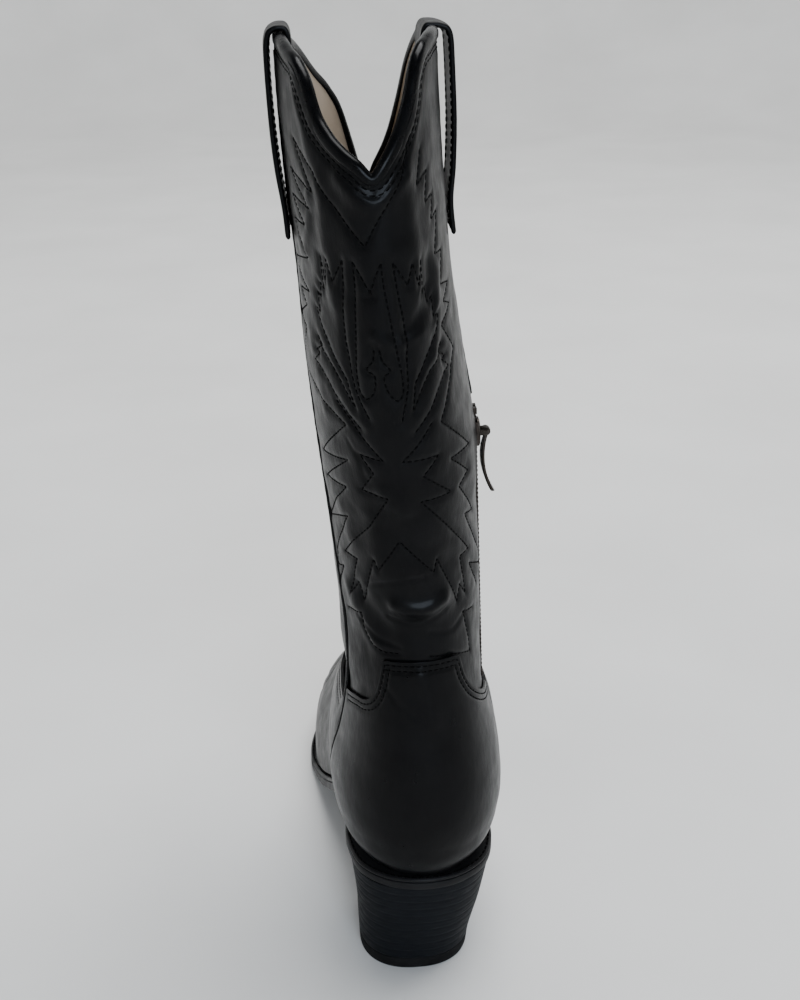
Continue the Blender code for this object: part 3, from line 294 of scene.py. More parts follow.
def foot_section(station):
    _, lateral, medial, crown, edge_full, crown_full, flare = station
    lateral, medial, crown = (np.array(p) for p in (lateral, medial, crown))
    rise = (crown - (lateral + medial) / 2) * edge_full
    rise[0] = 0
    sweep = crown_full * (medial - lateral) / 2
    sweep[2] = 0
    out = np.array([flare, 0, 0])
    return half_section(lateral, rise - out, crown, sweep, sweep, medial, rise + out)


BACK_KNOTS = [s[0] for s in HEEL + SHAFT]
BACK_SECTIONS = np.array([heel_section(s) for s in HEEL] + [shaft_section(s, False) for s in SHAFT])
FRONT_KNOTS = [s[0] for s in FOOT + SHAFT]
FRONT_SECTIONS = np.array([foot_section(s) for s in FOOT] + [shaft_section(s, True) for s in SHAFT])


def bezier(p, t):
    t = t[..., None]
    return ((1 - t)**3 * p[..., 0, :] + 3 * t * (1 - t)**2 * p[..., 1, :]
            + 3 * t**2 * (1 - t) * p[..., 2, :] + t**3 * p[..., 3, :])


def form(front, u, v):
    """Point on the form: u runs from 0 at the lateral seam to 1 at the medial, v up through the stations."""
    u, v = np.broadcast_arrays(np.asarray(u, float), np.asarray(v, float))
    sections = spline(FRONT_KNOTS, FRONT_SECTIONS, v) if front else spline(BACK_KNOTS, BACK_SECTIONS, v)
    first = bezier(sections[..., 0:4, :], np.clip(2 * u, 0, 1))
    second = bezier(sections[..., 3:7, :], np.clip(2 * u - 1, 0, 1))
    return np.where((u <= 0.5)[..., None], first, second)


def layer(front, u, v, depth):
    """Point at a depth under the form, along its normal."""
    du, dv = 0.002, 0.0005
    across = form(front, np.minimum(u + du, 1), v) - form(front, np.maximum(u - du, 0), v)
    up = form(front, u, v + dv) - form(front, u, v - dv)
    normal = unit(np.cross(across, up)) * (-1 if front else 1)
    return form(front, u, v) - normal * np.asarray(depth, float)[..., None]


def u_from_seam(front, medial, distance, v):
    """u of the point that lies a distance round the form from a side seam."""
    step = 0.01
    seam, inside = (1.0, 1.0 - step) if medial else (0.0, step)
    per_u = np.linalg.norm(form(front, inside, v) - form(front, seam, v), axis=-1) / step
    share = np.minimum(distance / per_u, TOE_SHARE)
    return 1 - share if medial else share


def v_at_height(front, medial, z):
    """v where a side seam is at height z."""
    v = np.linspace(0.056 if not front else 0.090, 0.410, 360)
    heights = form(front, 1.0 if medial else 0.0, v)[:, 2]
    return np.interp(z, heights, v)


def beside_seam(medial, distance, z, depth):
    """Point beside a side seam at height z: distance is positive towards the toe."""
    front = distance > 0
    v = v_at_height(front, medial, z)
    u = u_from_seam(front, medial, abs(distance), v)
    return layer(front, u, v, depth)


def top_edge(front, u):
    return through(FRONT_EDGE if front else BACK_EDGE, u)


# ---------------------------------------------------------------- places on the form
ARC_Z = np.arange(0.056, 0.4121, 0.002)
ARC_U = np.linspace(0, 1, 121)
ARC_S = np.arange(-0.110, 0.1101, 0.001)


def arc_tables(front):
    """Distance from the crown against (height, u), and u against (height, distance); v is the height."""
    distance, u_of = [], []
    for z in ARC_Z:
        p = form(front, ARC_U, np.full_like(ARC_U, z))
        run = distance_along(p)
        run -= run[len(ARC_U) // 2]
        distance.append(run)
        u_of.append(np.interp(ARC_S, run, ARC_U))
    return np.array(distance), np.array(u_of)


ARCS = {front: arc_tables(front) for front in (False, True)}


def look_up(table, columns, across, z):
    """Table value between its rows, which are heights, and its columns."""
    row = np.clip((np.asarray(z) - ARC_Z[0]) / (ARC_Z[1] - ARC_Z[0]), 0, len(ARC_Z) - 1.001)
    column = np.clip((np.asarray(across) - columns[0]) / (columns[1] - columns[0]), 0, len(columns) - 1.001)
    r, c = row.astype(int), column.astype(int)
    fr, fc = row - r, column - c
    return ((table[r, c] * (1 - fc) + table[r, c + 1] * fc) * (1 - fr)
            + (table[r + 1, c] * (1 - fc) + table[r + 1, c + 1] * fc) * fr)


def u_at(front, s, z):
    return look_up(ARCS[front][1], ARC_S, s, z)


def s_at(front, u, z):
    return look_up(ARCS[front][0], ARC_U, u, z)


def even_steps(points, step, smooth=False):
    """Points a step apart along straight runs, or along one smooth curve, through the given points."""
    points = np.asarray(points, float)
    run = distance_along(points)
    t = np.linspace(0, run[-1], max(2, int(run[-1] / step) + 1))
    if smooth:
        return spline(run, points, t)
    return np.stack([np.interp(t, run, points[:, k]) for k in range(points.shape[1])], axis=-1)


def shaft_line(front, corners_mm, smooth=False):
    """(u, v) along a line given as (distance from the crown, height) in millimetres."""
    flat = even_steps(np.array(corners_mm, float) / 1000, 0.0005, smooth)
    return u_at(front, flat[:, 0], flat[:, 1]), flat[:, 1]


def beside_edge(front, u, z, below):
    """(distance from the crown, height) of a line a distance below an edge that is given by u and height."""
    s = s_at(front, u, z)
    along = unit(np.stack([np.gradient(s), np.gradient(z)], axis=-1))
    return np.stack([s + along[:, 1] * below, z - along[:, 0] * below], axis=-1)


def along_edge(front, edge, below, low=ROW_START, high=ROW_END):
    """(u, v) along a line a distance below an edge of a piece on which v is the height."""
    u = np.linspace(low, high, 600)
    flat = even_steps(beside_edge(front, u, edge(u), below), 0.0005)
    return u_at(front, flat[:, 0], flat[:, 1]), flat[:, 1]


# ---------------------------------------------------------------- meshes
def outward(points, faces):
    """The faces of a closed body, all turned over if they enclose a negative volume."""
    volume = 0.0
    for size in {len(face) for face in faces}:
        ring = points[np.array([face for face in faces if len(face) == size])]
        for k in range(1, size - 1):
            volume += (ring[:, 0] * np.cross(ring[:, k], ring[:, k + 1])).sum()
    return [face[::-1] for face in faces] if volume < 0 else faces


def mesh_object(name, points, faces, material, smooth=True, sharp=40.0, closed=True):
    """A new object; edges that turn by more than sharp degrees are not smoothed."""
    mesh = bpy.data.meshes.new(name)
    points = np.asarray(points, float).reshape(-1, 3)
    faces = outward(points, faces) if closed else faces
    mesh.from_pydata(points.tolist(), [], [tuple(int(i) for i in f) for f in faces])
    mesh.update()
    mesh.materials.append(material)
    if smooth:
        mesh.shade_smooth()
        mesh.set_sharp_from_angle(angle=math.radians(sharp))
    obj = bpy.data.objects.new(name, mesh)
    bpy.context.scene.collection.objects.link(obj)
    return obj


def finish_piece(obj, body="boot", stands_for=()):
    """Rides a piece on its body and hides the CAD nodes that it replaces."""
    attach(obj, body)
    if stands_for:
        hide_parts(*stands_for)


def boot_piece(name, mesh, material, node, slot, **shading):
    """A piece of the boot's own body that stands for one CAD node."""
    finish_piece(mesh_object(name, *mesh, material, **shading), "boot", [node])


def grid_faces(rows, columns, start=0, wrap=False):
    r, c = np.meshgrid(np.arange(rows - 1), np.arange(columns if wrap else columns - 1), indexing="ij")
    r, c = r.ravel(), c.ravel()
    after = (c + 1) % columns
    return start + np.stack([r * columns + c, r * columns + after,
                             (r + 1) * columns + after, (r + 1) * columns + c], axis=-1)


def closed_sheet(outer, inner):
    """Points and faces of a closed shell from its outer and inner grids."""
    rows, columns = outer.shape[:2]
    n = rows * columns
    points = np.concatenate([outer.reshape(-1, 3), inner.reshape(-1, 3)])
    index = np.arange(n).reshape(rows, columns)
    rim = np.concatenate([index[0], index[1:, -1], index[-1, -2::-1], index[-2:0:-1, 0]])
    after = np.roll(rim, -1)
    faces = [grid_faces(rows, columns), grid_faces(rows, columns, n)[:, ::-1],
             np.stack([rim, rim + n, after + n, after], axis=-1)]
    return points + LAST_ORIGIN, np.concatenate(faces)


def tube_mesh(path, radius, sides=12):
    """Points and faces of a round tube; radius is one number or one for each point."""
    tangent = unit(np.gradient(path, axis=0))
    upright = abs(tangent[:, 2]).mean() >= 0.8
    binormal = unit(np.cross(tangent, (1.0, 0.0, 0.0) if upright else (0.0, 0.0, 1.0)))
    normal = np.cross(binormal, tangent)
    angle = (np.arange(sides) * 2 * math.pi / sides)[None, :, None]
    radius = np.broadcast_to(radius, len(path))[:, None, None]
    ring = np.cos(angle) * normal[:, None] + np.sin(angle) * binormal[:, None]
    points = (path[:, None] + radius * ring).reshape(-1, 3)
    faces = [list(f) for f in grid_faces(len(path), sides, wrap=True)]
    faces.append(list(range(sides))[::-1])
    faces.append(list(range(len(points) - sides, len(points))))
    return points, faces


def merged(parts):
    """One set of points and faces from several."""
    points, faces, start = [], [], 0
    for p, f in parts:
        points.append(np.asarray(p))
        faces += [[int(i) + start for i in face] for face in outward(points[-1], f)]
        start += len(p)
    return np.concatenate(points), faces


# ---------------------------------------------------------------- relief: stitch lines, puffs and folds
def nearest(points, samples):
    """Distance from each point to the nearest sample."""
    tree = KDTree(len(samples))
    for index, sample in enumerate(samples):
        tree.insert(sample, index)
    tree.balance()
    flat = points.reshape(-1, 3)
    return np.array([tree.find(p)[2] for p in flat]).reshape(points.shape[:-1])


def ripple(points, size, seed):
    """Smooth noise from -1 to 1 with features of a given size."""
    flat = points.reshape(-1, 3) / size + seed
    return np.array([noise.noise(Vector(p)) for p in flat]).reshape(points.shape[:-1])


class Surface:
    """One leather layer: relief is a sum of ridges and grooves, each a line with a width and a height."""

    def __init__(self, front, depth):
        self.front, self.depth = front, depth
        self.lines = []
        self.ripples = []       # (size, height, seed) of each noise that is added to the lines

    def base(self, u, v):
        return layer(self.front, u, v, self.depth)

    def add(self, paths, width, height):
        samples = np.concatenate([self.base(np.asarray(u), np.asarray(v)) for u, v in paths])
        self.lines.append((samples, width, height))

    def relief(self, u, v):
        points = self.base(u, v)
        total = np.zeros(points.shape[:-1])
        for samples, width, height in self.lines:
            total += height * np.exp(-(nearest(points, samples) / width) ** 2)
        for size, height, seed in self.ripples:
            total += height * ripple(points, size, seed)
        return total

    def point(self, u, v, lift=0.0):
        return layer(self.front, u, v, self.depth - self.relief(u, v) - lift)


def roll_off_seams(surface, low, high, count):
    """The leather sinks a little towards both side seams."""
    v = np.linspace(low, high, count)
    for seam_u in (0.0, 1.0):
        surface.add([(np.full_like(v, seam_u), v)], SEAM_ROLL_WIDTH, -SEAM_ROLL_DEPTH)


def add_groove(surface, lines, groove):
    depth, width, cut = groove
    surface.add(lines, width, -depth)
    surface.add(lines, CUT_WIDTH, -cut)


def grid_uv(front, bottom, top, rows, columns, seam, medial_seam=None):
    """(u, v) grids between the two side seams, from a bottom to a top that may each vary with u."""
    fractions = np.linspace(0, 1, columns)
    u_rows, v_rows = [], []
    for f in np.linspace(0, 1, rows):
        ends = [float(bottom(e) + (top(e) - bottom(e)) * f) for e in (0.0, 1.0)]
        z_medial = float(form(front, 1.0, ends[1])[2])
        on_feather = front and ends[0] < FEATHER_TOP
        lateral_gap = FEATHER_SETBACK if on_feather else seam
        medial_gap = FEATHER_SETBACK if on_feather else (medial_seam(z_medial) if medial_seam else seam)
        low = float(u_from_seam(front, False, lateral_gap, ends[0]))
        high = float(u_from_seam(front, True, medial_gap, ends[1]))
        u = low + (high - low) * fractions
        u_rows.append(u)
        v_rows.append(bottom(u) + (top(u) - bottom(u)) * f)
    return np.array(u_rows), np.array(v_rows)


def shell_piece(name, surface, thickness, uv, material, node, slot="black_leather"):
    """A piece of leather: its outer face has the surface's relief, its inner face is plain."""
    u, v = uv
    inner = layer(surface.front, u, v, surface.depth + thickness)
    boot_piece(name, closed_sheet(surface.point(u, v), inner), material, node, slot, sharp=60)


def beside_zip(z):
    """Set-back of a medial panel edge: it opens round the zip with rounded ends."""
    share = through(((0.0, 0.0), (ZIP_LOW - 0.0075, 0.0), (ZIP_LOW - 0.002, 1.0), (ZIP_HIGH + 0.001, 1.0),
                     (ZIP_HIGH + 0.0065, 0.0), (0.5, 0.0)), z, True)
    return SEAM_SETBACK + (ZIP_SETBACK - SEAM_SETBACK) * share


def constant(value):
    return lambda u: np.full(np.shape(u), value) if np.ndim(u) else value


# ---------------------------------------------------------------- stitches
STITCH_T = np.array([0.0, 0.14, 0.5, 0.86, 1.0])
STITCH_LIFT = np.array([-0.00030, 0.00008, 0.00014, 0.00008, -0.00030])
STITCH_WIDTH = np.array([0.55, 1.0, 1.0, 1.0, 0.55])


def stitches(paths, pitch, radius, sides=6):
    """Points and faces of a row of single stitches along each path, given as points and outward normals."""
    parts = []
    angle = np.arange(sides) * 2 * math.pi / sides
    for path, normal in paths:
        run = distance_along(path)
        count = max(1, int(round(run[-1] / pitch)))
        starts = np.arange(count) * run[-1] / count
        t = starts[:, None] + STITCH_T * run[-1] / count * STITCH_SHARE
        at = np.stack([np.interp(t, run, path[:, k]) for k in range(3)], axis=-1)
        out = np.stack([np.interp(t, run, normal[:, k]) for k in range(3)], axis=-1)
        out = unit(out)
        along = at[:, -1:] - at[:, :1]
        along /= np.linalg.norm(along, axis=-1, keepdims=True) + 1e-12
        across = np.cross(np.broadcast_to(along, out.shape), out)
        across /= np.linalg.norm(across, axis=-1, keepdims=True) + 1e-12
        centre = at + out * (STITCH_LIFT * radius / THREAD_R)[None, :, None]
        ring = (np.cos(angle)[None, None, :, None] * out[:, :, None]
                + np.sin(angle)[None, None, :, None] * across[:, :, None])
        points = centre[:, :, None] + ring * (radius * STITCH_WIDTH)[None, :, None, None]
        for stitch in points:
            faces = [list(f) for f in grid_faces(len(STITCH_T), sides, wrap=True)]
            faces += [list(range(sides))[::-1], list(range(4 * sides, 5 * sides))]
            parts.append((stitch.reshape(-1, 3), faces))
    return merged(parts)


def stitch_piece(name, paths, pitch=STITCH, radius=THREAD_R):
    points, faces = stitches(paths, pitch, radius)
    finish_piece(mesh_object(name, points, faces, THREAD, sharp=70))


def rows_on(surface, lines):
    """Paths and normals of stitch rows that lie in their grooves on a surface."""
    found = []
    for u, v in lines:
        u, v = np.asarray(u, float), np.asarray(v, float)
        low, high = surface.point(u, v), surface.point(u, v, 0.001)
        found.append((low + LAST_ORIGIN, (high - low) / 0.001))
    return found


# ---------------------------------------------------------------- materials
class Nodes:
    """A Principled material with short helpers to add its nodes."""

    def __init__(self, name, colour, roughness, metallic=0.0, **inputs):
        self.material = bpy.data.materials.new(name)
        self.material.use_nodes = True
        self.tree = self.material.node_tree
        self.shader = self.tree.nodes["Principled BSDF"]
        self.set("Base Color", (*colour, 1.0))
        self.set("Roughness", roughness)
        self.set("Metallic", metallic)
        for key, value in inputs.items():
            self.set(key.replace("_", " "), value)
        self.place = self.add("ShaderNodeTexCoord").outputs["Object"]
        self.normal = None

    def set(self, key, value):
        self.shader.inputs[key].default_value = value

    def add(self, kind, **settings):
        node = self.tree.nodes.new(kind)
        for key, value in settings.items():
            if key in node.inputs:
                node.inputs[key].default_value = value
            else:
                setattr(node, key, value)
        return node

    def link(self, a, b):
        self.tree.links.new(a, b)

    def stretched(self, scale):
        mapping = self.add("ShaderNodeMapping")
        mapping.inputs["Scale"].default_value = scale
        self.link(self.place, mapping.inputs["Vector"])
        return mapping.outputs["Vector"]

    def noise(self, scale, detail=3.0, stretch=(1, 1, 1)):
        node = self.add("ShaderNodeTexNoise", Scale=scale, Detail=detail)
        self.link(self.stretched(stretch), node.inputs["Vector"])
        return node.outputs["Fac"]

    def cells(self, scale, feature="DISTANCE_TO_EDGE"):
        node = self.add("ShaderNodeTexVoronoi", Scale=scale)
        node.feature = feature
        self.link(self.place, node.inputs["Vector"])
        return node.outputs["Distance"]

    def ramp(self, source, low, high, positions=(0.3, 0.7)):
        node = self.add("ShaderNodeValToRGB")
        for element, position, value in zip(node.color_ramp.elements, positions, (low, high)):
            element.position = position
            element.color = (*value, 1.0) if np.ndim(value) else (value, value, value, 1.0)
        self.link(source, node.inputs["Fac"])
        return node.outputs["Color"]

    def vary(self, key, source, low, high, positions=(0.3, 0.7)):
        self.link(self.ramp(source, low, high, positions), self.shader.inputs[key])

    def bump(self, source, strength, distance):
        node = self.add("ShaderNodeBump", Strength=strength, Distance=distance)
        self.link(source, node.inputs["Height"])
        if self.normal:
            self.link(self.normal, node.inputs["Normal"])
        self.normal = node.outputs["Normal"]
        self.link(self.normal, self.shader.inputs["Normal"])


def black_leather(name, roughness, grain):
    m = Nodes(name, (0.006, 0.006, 0.007), roughness,
              Coat_Weight=0.07, Coat_Roughness=0.13, Specular_IOR_Level=0.055)
    mottle = m.noise(60, 4)
    m.vary("Base Color", mottle, (0.0012, 0.0013, 0.0016), (0.0026, 0.0027, 0.0031))
    m.vary("Roughness", m.noise(140, 5), roughness - 0.05, roughness + 0.07)
    m.bump(m.noise(420, 4, (1, 1, 0.45)), 0.26 * grain, 0.0006)
    m.bump(m.cells(1500), 0.18 * grain, 0.0003)
    return m.material


def lining_leather():
    m = Nodes("lining_leather", (0.40, 0.31, 0.22), 0.62, Specular_IOR_Level=0.35)
    m.vary("Base Color", m.noise(45, 4), (0.34, 0.265, 0.19), (0.44, 0.35, 0.26))
    m.vary("Roughness", m.noise(200, 3), 0.55, 0.72)
    m.bump(m.cells(1300), 0.18, 0.0003)
    return m.material


def woven(name, colour, roughness):
    m = Nodes(name, colour, roughness, Specular_IOR_Level=0.25)
    weave = m.add("ShaderNodeTexWave", Scale=330.0, Distortion=1.5, Detail=1.0)
    weave.bands_direction = "DIAGONAL"
    m.link(m.place, weave.inputs["Vector"])
    m.vary("Base Color", weave.outputs["Fac"], tuple(0.5 * c for c in colour), tuple(1.4 * c for c in colour))
    m.bump(weave.outputs["Fac"], 0.6, 0.0004)
    m.bump(m.noise(1500, 2), 0.3, 0.0003)
    return m.material


def thread():
    m = Nodes("sewing_thread", (0.0010, 0.0010, 0.0010), 0.70, Specular_IOR_Level=0.06)
    m.vary("Roughness", m.noise(900, 2), 0.6, 0.85)
    m.bump(m.noise(2600, 2, (1, 1, 0.4)), 0.5, 0.0002)
    return m.material


def dark_metal(name, colour, roughness):
    m = Nodes(name, colour, roughness, 1.0)
    m.vary("Base Color", m.noise(260, 4), tuple(0.7 * c for c in colour), tuple(1.25 * c for c in colour))
    m.vary("Roughness", m.noise(700, 4), roughness - 0.06, roughness + 0.14)
    m.bump(m.noise(1400, 3), 0.08, 0.0002)
    return m.material


def plain_steel():
    m = Nodes("plain_steel", (0.45, 0.45, 0.46), 0.35, 1.0)
    m.vary("Roughness", m.noise(300, 3, (1, 1, 8)), 0.28, 0.5)
    m.bump(m.noise(900, 2, (1, 1, 6)), 0.1, 0.0002)
    return m.material


def granules(name, dark, light, size, roughness):
    m = Nodes(name, light, roughness, Specular_IOR_Level=0.3)
    m.vary("Base Color", m.cells(size, "F1"), light, dark, (0.1, 0.8))
    m.bump(m.noise(size * 1.5, 4), 0.4, 0.0006)
    return m.material


def sole_edge():
    m = Nodes("sole_edge", (0.004, 0.004, 0.005), 0.42,
              Specular_IOR_Level=0.12, Coat_Weight=0.05, Coat_Roughness=0.35)
    m.vary("Roughness", m.noise(120, 4), 0.36, 0.55)
    m.vary("Base Color", m.noise(90, 3), (0.0035, 0.0035, 0.0040), (0.0070, 0.0070, 0.0080))
    m.bump(m.noise(600, 4), 0.10, 0.0004)
    return m.material


def stacked_heel():
    m = Nodes("stacked_heel", (0.004, 0.005, 0.007), 0.55, Specular_IOR_Level=0.10)
    fibres = m.noise(260, 4, (1, 1, 9))
    m.vary("Base Color", fibres, (0.0018, 0.0024, 0.0034), (0.0045, 0.0058, 0.0080))
    m.vary("Roughness", m.noise(160, 3, (1, 1, 6)), 0.46, 0.68)
    m.bump(fibres, 0.22, 0.0004)
    return m.material


def matt_rubber():
    m = Nodes("matt_rubber", (0.005, 0.005, 0.005), 0.78, Specular_IOR_Level=0.12)
    m.vary("Base Color", m.noise(150, 3), (0.0035, 0.0035, 0.0038), (0.0070, 0.0070, 0.0075))
    m.bump(m.noise(1100, 3), 0.25, 0.0004)
    return m.material


LEATHER = black_leather("shaft_leather", 0.36, 1.0)
SMOOTH_LEATHER = black_leather("foot_leather", 0.32, 0.6)
TRIM_LEATHER = black_leather("trim_leather", 0.27, 0.4)
STRAP_LEATHER = black_leather("strap_leather", 0.40, 1.0)
THREAD = thread()
LINING_LEATHER = lining_leather()
GUNMETAL = dark_metal("gunmetal_plating", (0.040, 0.034, 0.030), 0.32)
SOLE = sole_edge()
HEEL_STACK = stacked_heel()
RUBBER = matt_rubber()
SLOT_MATERIAL = {
    "black_leather": SMOOTH_LEATHER,
    "lining": LINING_LEATHER,
    "stiffener": granules("stiffener_fibre", (0.42, 0.37, 0.30), (0.60, 0.55, 0.47), 900, 0.85),
    "zipper_tape": woven("zip_tape", (0.010, 0.010, 0.011), 0.85),
    "gunmetal": GUNMETAL,
    "insole_board": granules("insole_fibre", (0.30, 0.22, 0.14), (0.44, 0.34, 0.24), 700, 0.85),
    "cork": granules("cork_granules", (0.26, 0.15, 0.08), (0.50, 0.33, 0.19), 420, 0.90),
    "steel": plain_steel(),
    "sole": SOLE,
    "heel_stack": HEEL_STACK,
    "rubber": RUBBER,
}


def paint_carried_nodes():
    for part in frame["record"]["subparts"]:
        obj = frame["nodes"][part["node"]]
        obj.data.materials.clear()
        obj.data.materials.append(SLOT_MATERIAL[part["material_slot"]])


# ---------------------------------------------------------------- stitched decoration
# Lines of corners, each as (distance round the form from the crown, height) in millimetres
BACK_ZIGZAG_LATERAL = ((-46, 374), (-30, 357), (-57, 362), (-35, 350), (-57, 352), (-42, 343), (-62, 342),
                       (-44, 330), (-76, 324), (-48, 316), (-65, 314), (-55, 309), (-76, 301), (-59, 299),
                       (-75, 280), (-58, 277), (-42, 273), (-26, 268), (-55, 247), (-28, 252), (-53, 236),
                       (-31, 239), (-59, 214), (-32, 225), (-50, 202), (-50, 193), (-42, 196), (-51, 184))
BACK_ZIGZAG_MEDIAL = ((24, 372), (20, 360), (29, 364), (26, 353), (33, 355), (30, 346), (37, 348),
                      (31, 333), (39, 333), (33, 321), (46, 319), (35, 314), (44, 311), (30, 306),
                      (41, 294), (19, 270), (40, 253), (22, 253), (35, 243), (26, 239), (42, 221),
                      (31, 224), (54, 189), (33, 199), (43, 184))
BACK_V = ((-46, 374), (-27, 365), (-20, 357), (-13, 350), (-5, 341), (0, 349), (6, 358), (9, 362),
          (17, 377))
FEATHER_CROWN = ((-31, 334), (-28, 325), (-25, 334), (-22, 326), (-16, 335))
FEATHER_SPINE = ((-16, 335), (-17, 324), (-19, 306), (-18, 297), (-17, 287), (-15, 281), (-12, 273))
FEATHER_LOOP = ((-11, 335), (-11, 329), (-12, 318), (-14, 300), (-15, 290), (-14, 284), (-12, 282),
                (-9, 284), (-7, 289), (-7, 292), (-10, 294), (-7, 298), (-6, 303))
FEATHER_INNER = ((-11, 335), (-8, 330), (-6, 326), (-4, 323))
FEATHER_TIPS = ((-31, 334), (-31, 321), (-34, 323), (-35, 317), (-38, 319), (-37, 311), (-41, 312),
                (-37, 305), (-29, 297), (-21, 288), (-18, 277))
WING_TIPS = ((-43, 300), (-39, 297), (-45, 294), (-42, 293), (-48, 289), (-44, 288), (-35, 283), (-27, 276),
             (-17, 268))
WING_TOP = ((-43, 300), (-39, 296), (-30, 291), (-23, 284), (-18, 277))
BACK_LOWER_LATERAL = ((-31, 277), (-23, 271), (-16, 264), (-9, 256), (-20, 257), (-14, 250), (-21, 241),
                      (-8, 240), (-18, 225), (-39, 205), (-28, 206), (-35, 186), (-29, 194), (-26, 186),
                      (-17, 210), (-15, 205), (-5, 220))
BACK_LOWER_MEDIAL = ((14, 271), (8, 265), (-1, 256), (15, 257), (7, 249), (20, 239), (5, 238), (32, 207),
                     (25, 206), (29, 186), (24, 193), (22, 185), (11, 210), (9, 204), (-5, 220))
ANKLE_LATERAL = ((-41, 176), (-27, 180), (-27, 174), (-22, 167), (-16, 165), (-8, 166))
ANKLE_MEDIAL = ((35, 176), (26, 178), (28, 168), (31, 157), (17, 162), (4, 165))
BACK_AXIS = -5              # the feather figure's middle on the back, and on the front
FRONT_AXIS = 0
FRONT_DROP = 8              # how far lower the figure sits on the front
FRONT_SHIFT = 5             # how far the zigzags move round on the front
RIGHT_SHARE = 0.88          # how wide the figure's right half is on the back, against its left half
FEATHER = ((FEATHER_CROWN, False), (FEATHER_SPINE, True), (FEATHER_LOOP, True), (FEATHER_INNER, True),
           (FEATHER_TIPS, False), (WING_TIPS, False), (WING_TOP, True))


def mirrored(line, axis, share=1.0):
    return tuple((axis + (axis - s) * share, z) for s, z in line)


def moved(line, ds, dz=0):
    return tuple((s + ds, z + dz) for s, z in line)


def feather_lines(front):
    """The feather figure on both sides of its axis."""
    axis = FRONT_AXIS if front else BACK_AXIS
    lines = []
    for line, smooth in FEATHER:
        left = moved(line, axis - BACK_AXIS, -FRONT_DROP) if front else line
        right = mirrored(left, axis, 1.0 if front else RIGHT_SHARE)
        lines += [shaft_line(front, half, smooth) for half in (left, right)]
    return lines


def shaft_lines(front):
    """Zigzags of one half of the shaft."""
    if front:
        rows = [moved(row, FRONT_SHIFT) for row in (BACK_ZIGZAG_LATERAL, BACK_LOWER_LATERAL)]
        rows = [half for row in rows for half in (row, mirrored(row, FRONT_AXIS))]
    else:
        rows = (BACK_ZIGZAG_LATERAL, BACK_ZIGZAG_MEDIAL, BACK_V, BACK_LOWER_LATERAL, BACK_LOWER_MEDIAL,
                ANKLE_LATERAL, ANKLE_MEDIAL)
    return [shaft_line(front, row) for row in rows]


# Folds and ridges of the worn leather: line in (round the form, height) mm, width mm, height mm
BACK_FOLDS = (
    (((-39, 399), (-33, 382), (-23, 360), (-24, 340), (-22, 318)), 5.0, 1.1),
    (((23, 392), (14, 362), (14, 341), (16, 308)), 5.0, 0.8),
    (((-12, 364), (-1, 356), (12, 365)), 4.0, 1.6),
    (((-8, 190), (2, 188), (12, 191)), 3.6, 2.1),
    (((-30, 178), (-18, 171), (-8, 169)), 1.3, -0.5),
    (((-12, 183), (0, 181), (14, 185)), 1.2, -0.5),
    (((-22, 196), (-8, 201), (4, 203)), 1.2, -0.4),
    (((6, 176), (16, 174), (26, 178)), 1.2, -0.4),
    (((-26, 262), (-20, 254), (-18, 246)), 1.3, -0.3),
    (((20, 304), (26, 296), (28, 286)), 1.3, -0.3),
    (((-5, 308), (4, 304), (13, 308)), 2.4, 0.8),
    (((24, 332), (19, 320), (11, 310)), 4.0, -1.1),
    (((30, 326), (25, 310), (21, 296)), 3.6, 0.8),
    (((-52, 300), (-46, 286), (-42, 270)), 4.0, 0.5),
    (((-34, 356), (-38, 344), (-44, 334)), 3.2, 0.7),
    (((-14, 178), (0, 176), (20, 182)), 6.0, -0.9),
    (((-37, 189), (-30, 180), (-20, 168)), 4.5, 0.9),
    (((-28, 192), (-18, 182), (-12, 172)), 4.5, -0.7),
    (((-10, 242), (-1, 235)), 4.0, 0.8),
    (((-16, 229), (-14, 206)), 4.5, 0.6),
    (((-6, 226), (6, 214), (16, 208)), 5.5, -0.7),
    (((24, 214), (36, 204), (46, 190)), 5.0, 0.6),
    (((-44, 232), (-36, 226), (-30, 215)), 5.0, 0.5),
    (((-2, 262), (4, 247), (2, 232)), 6.0, -0.6),
    (((44, 232), (38, 244)), 5.0, 0.5),
)
FRONT_FOLDS = (
    (((-30, 190), (0, 182), (30, 190)), 6.0, 1.1),
    (((-34, 176), (0, 168), (34, 176)), 6.5, -1.0),
    (((-24, 162), (0, 155), (24, 162)), 6.0, 1.0),
    (((-20, 214), (-6, 204)), 5.0, 0.6),
    (((8, 226), (22, 214)), 5.0, 0.6),
    (((-34, 262), (-20, 240)), 6.0, 0.5),
)


def shaft_bottom(front):
    return constant(0.116 if front else 0.121)


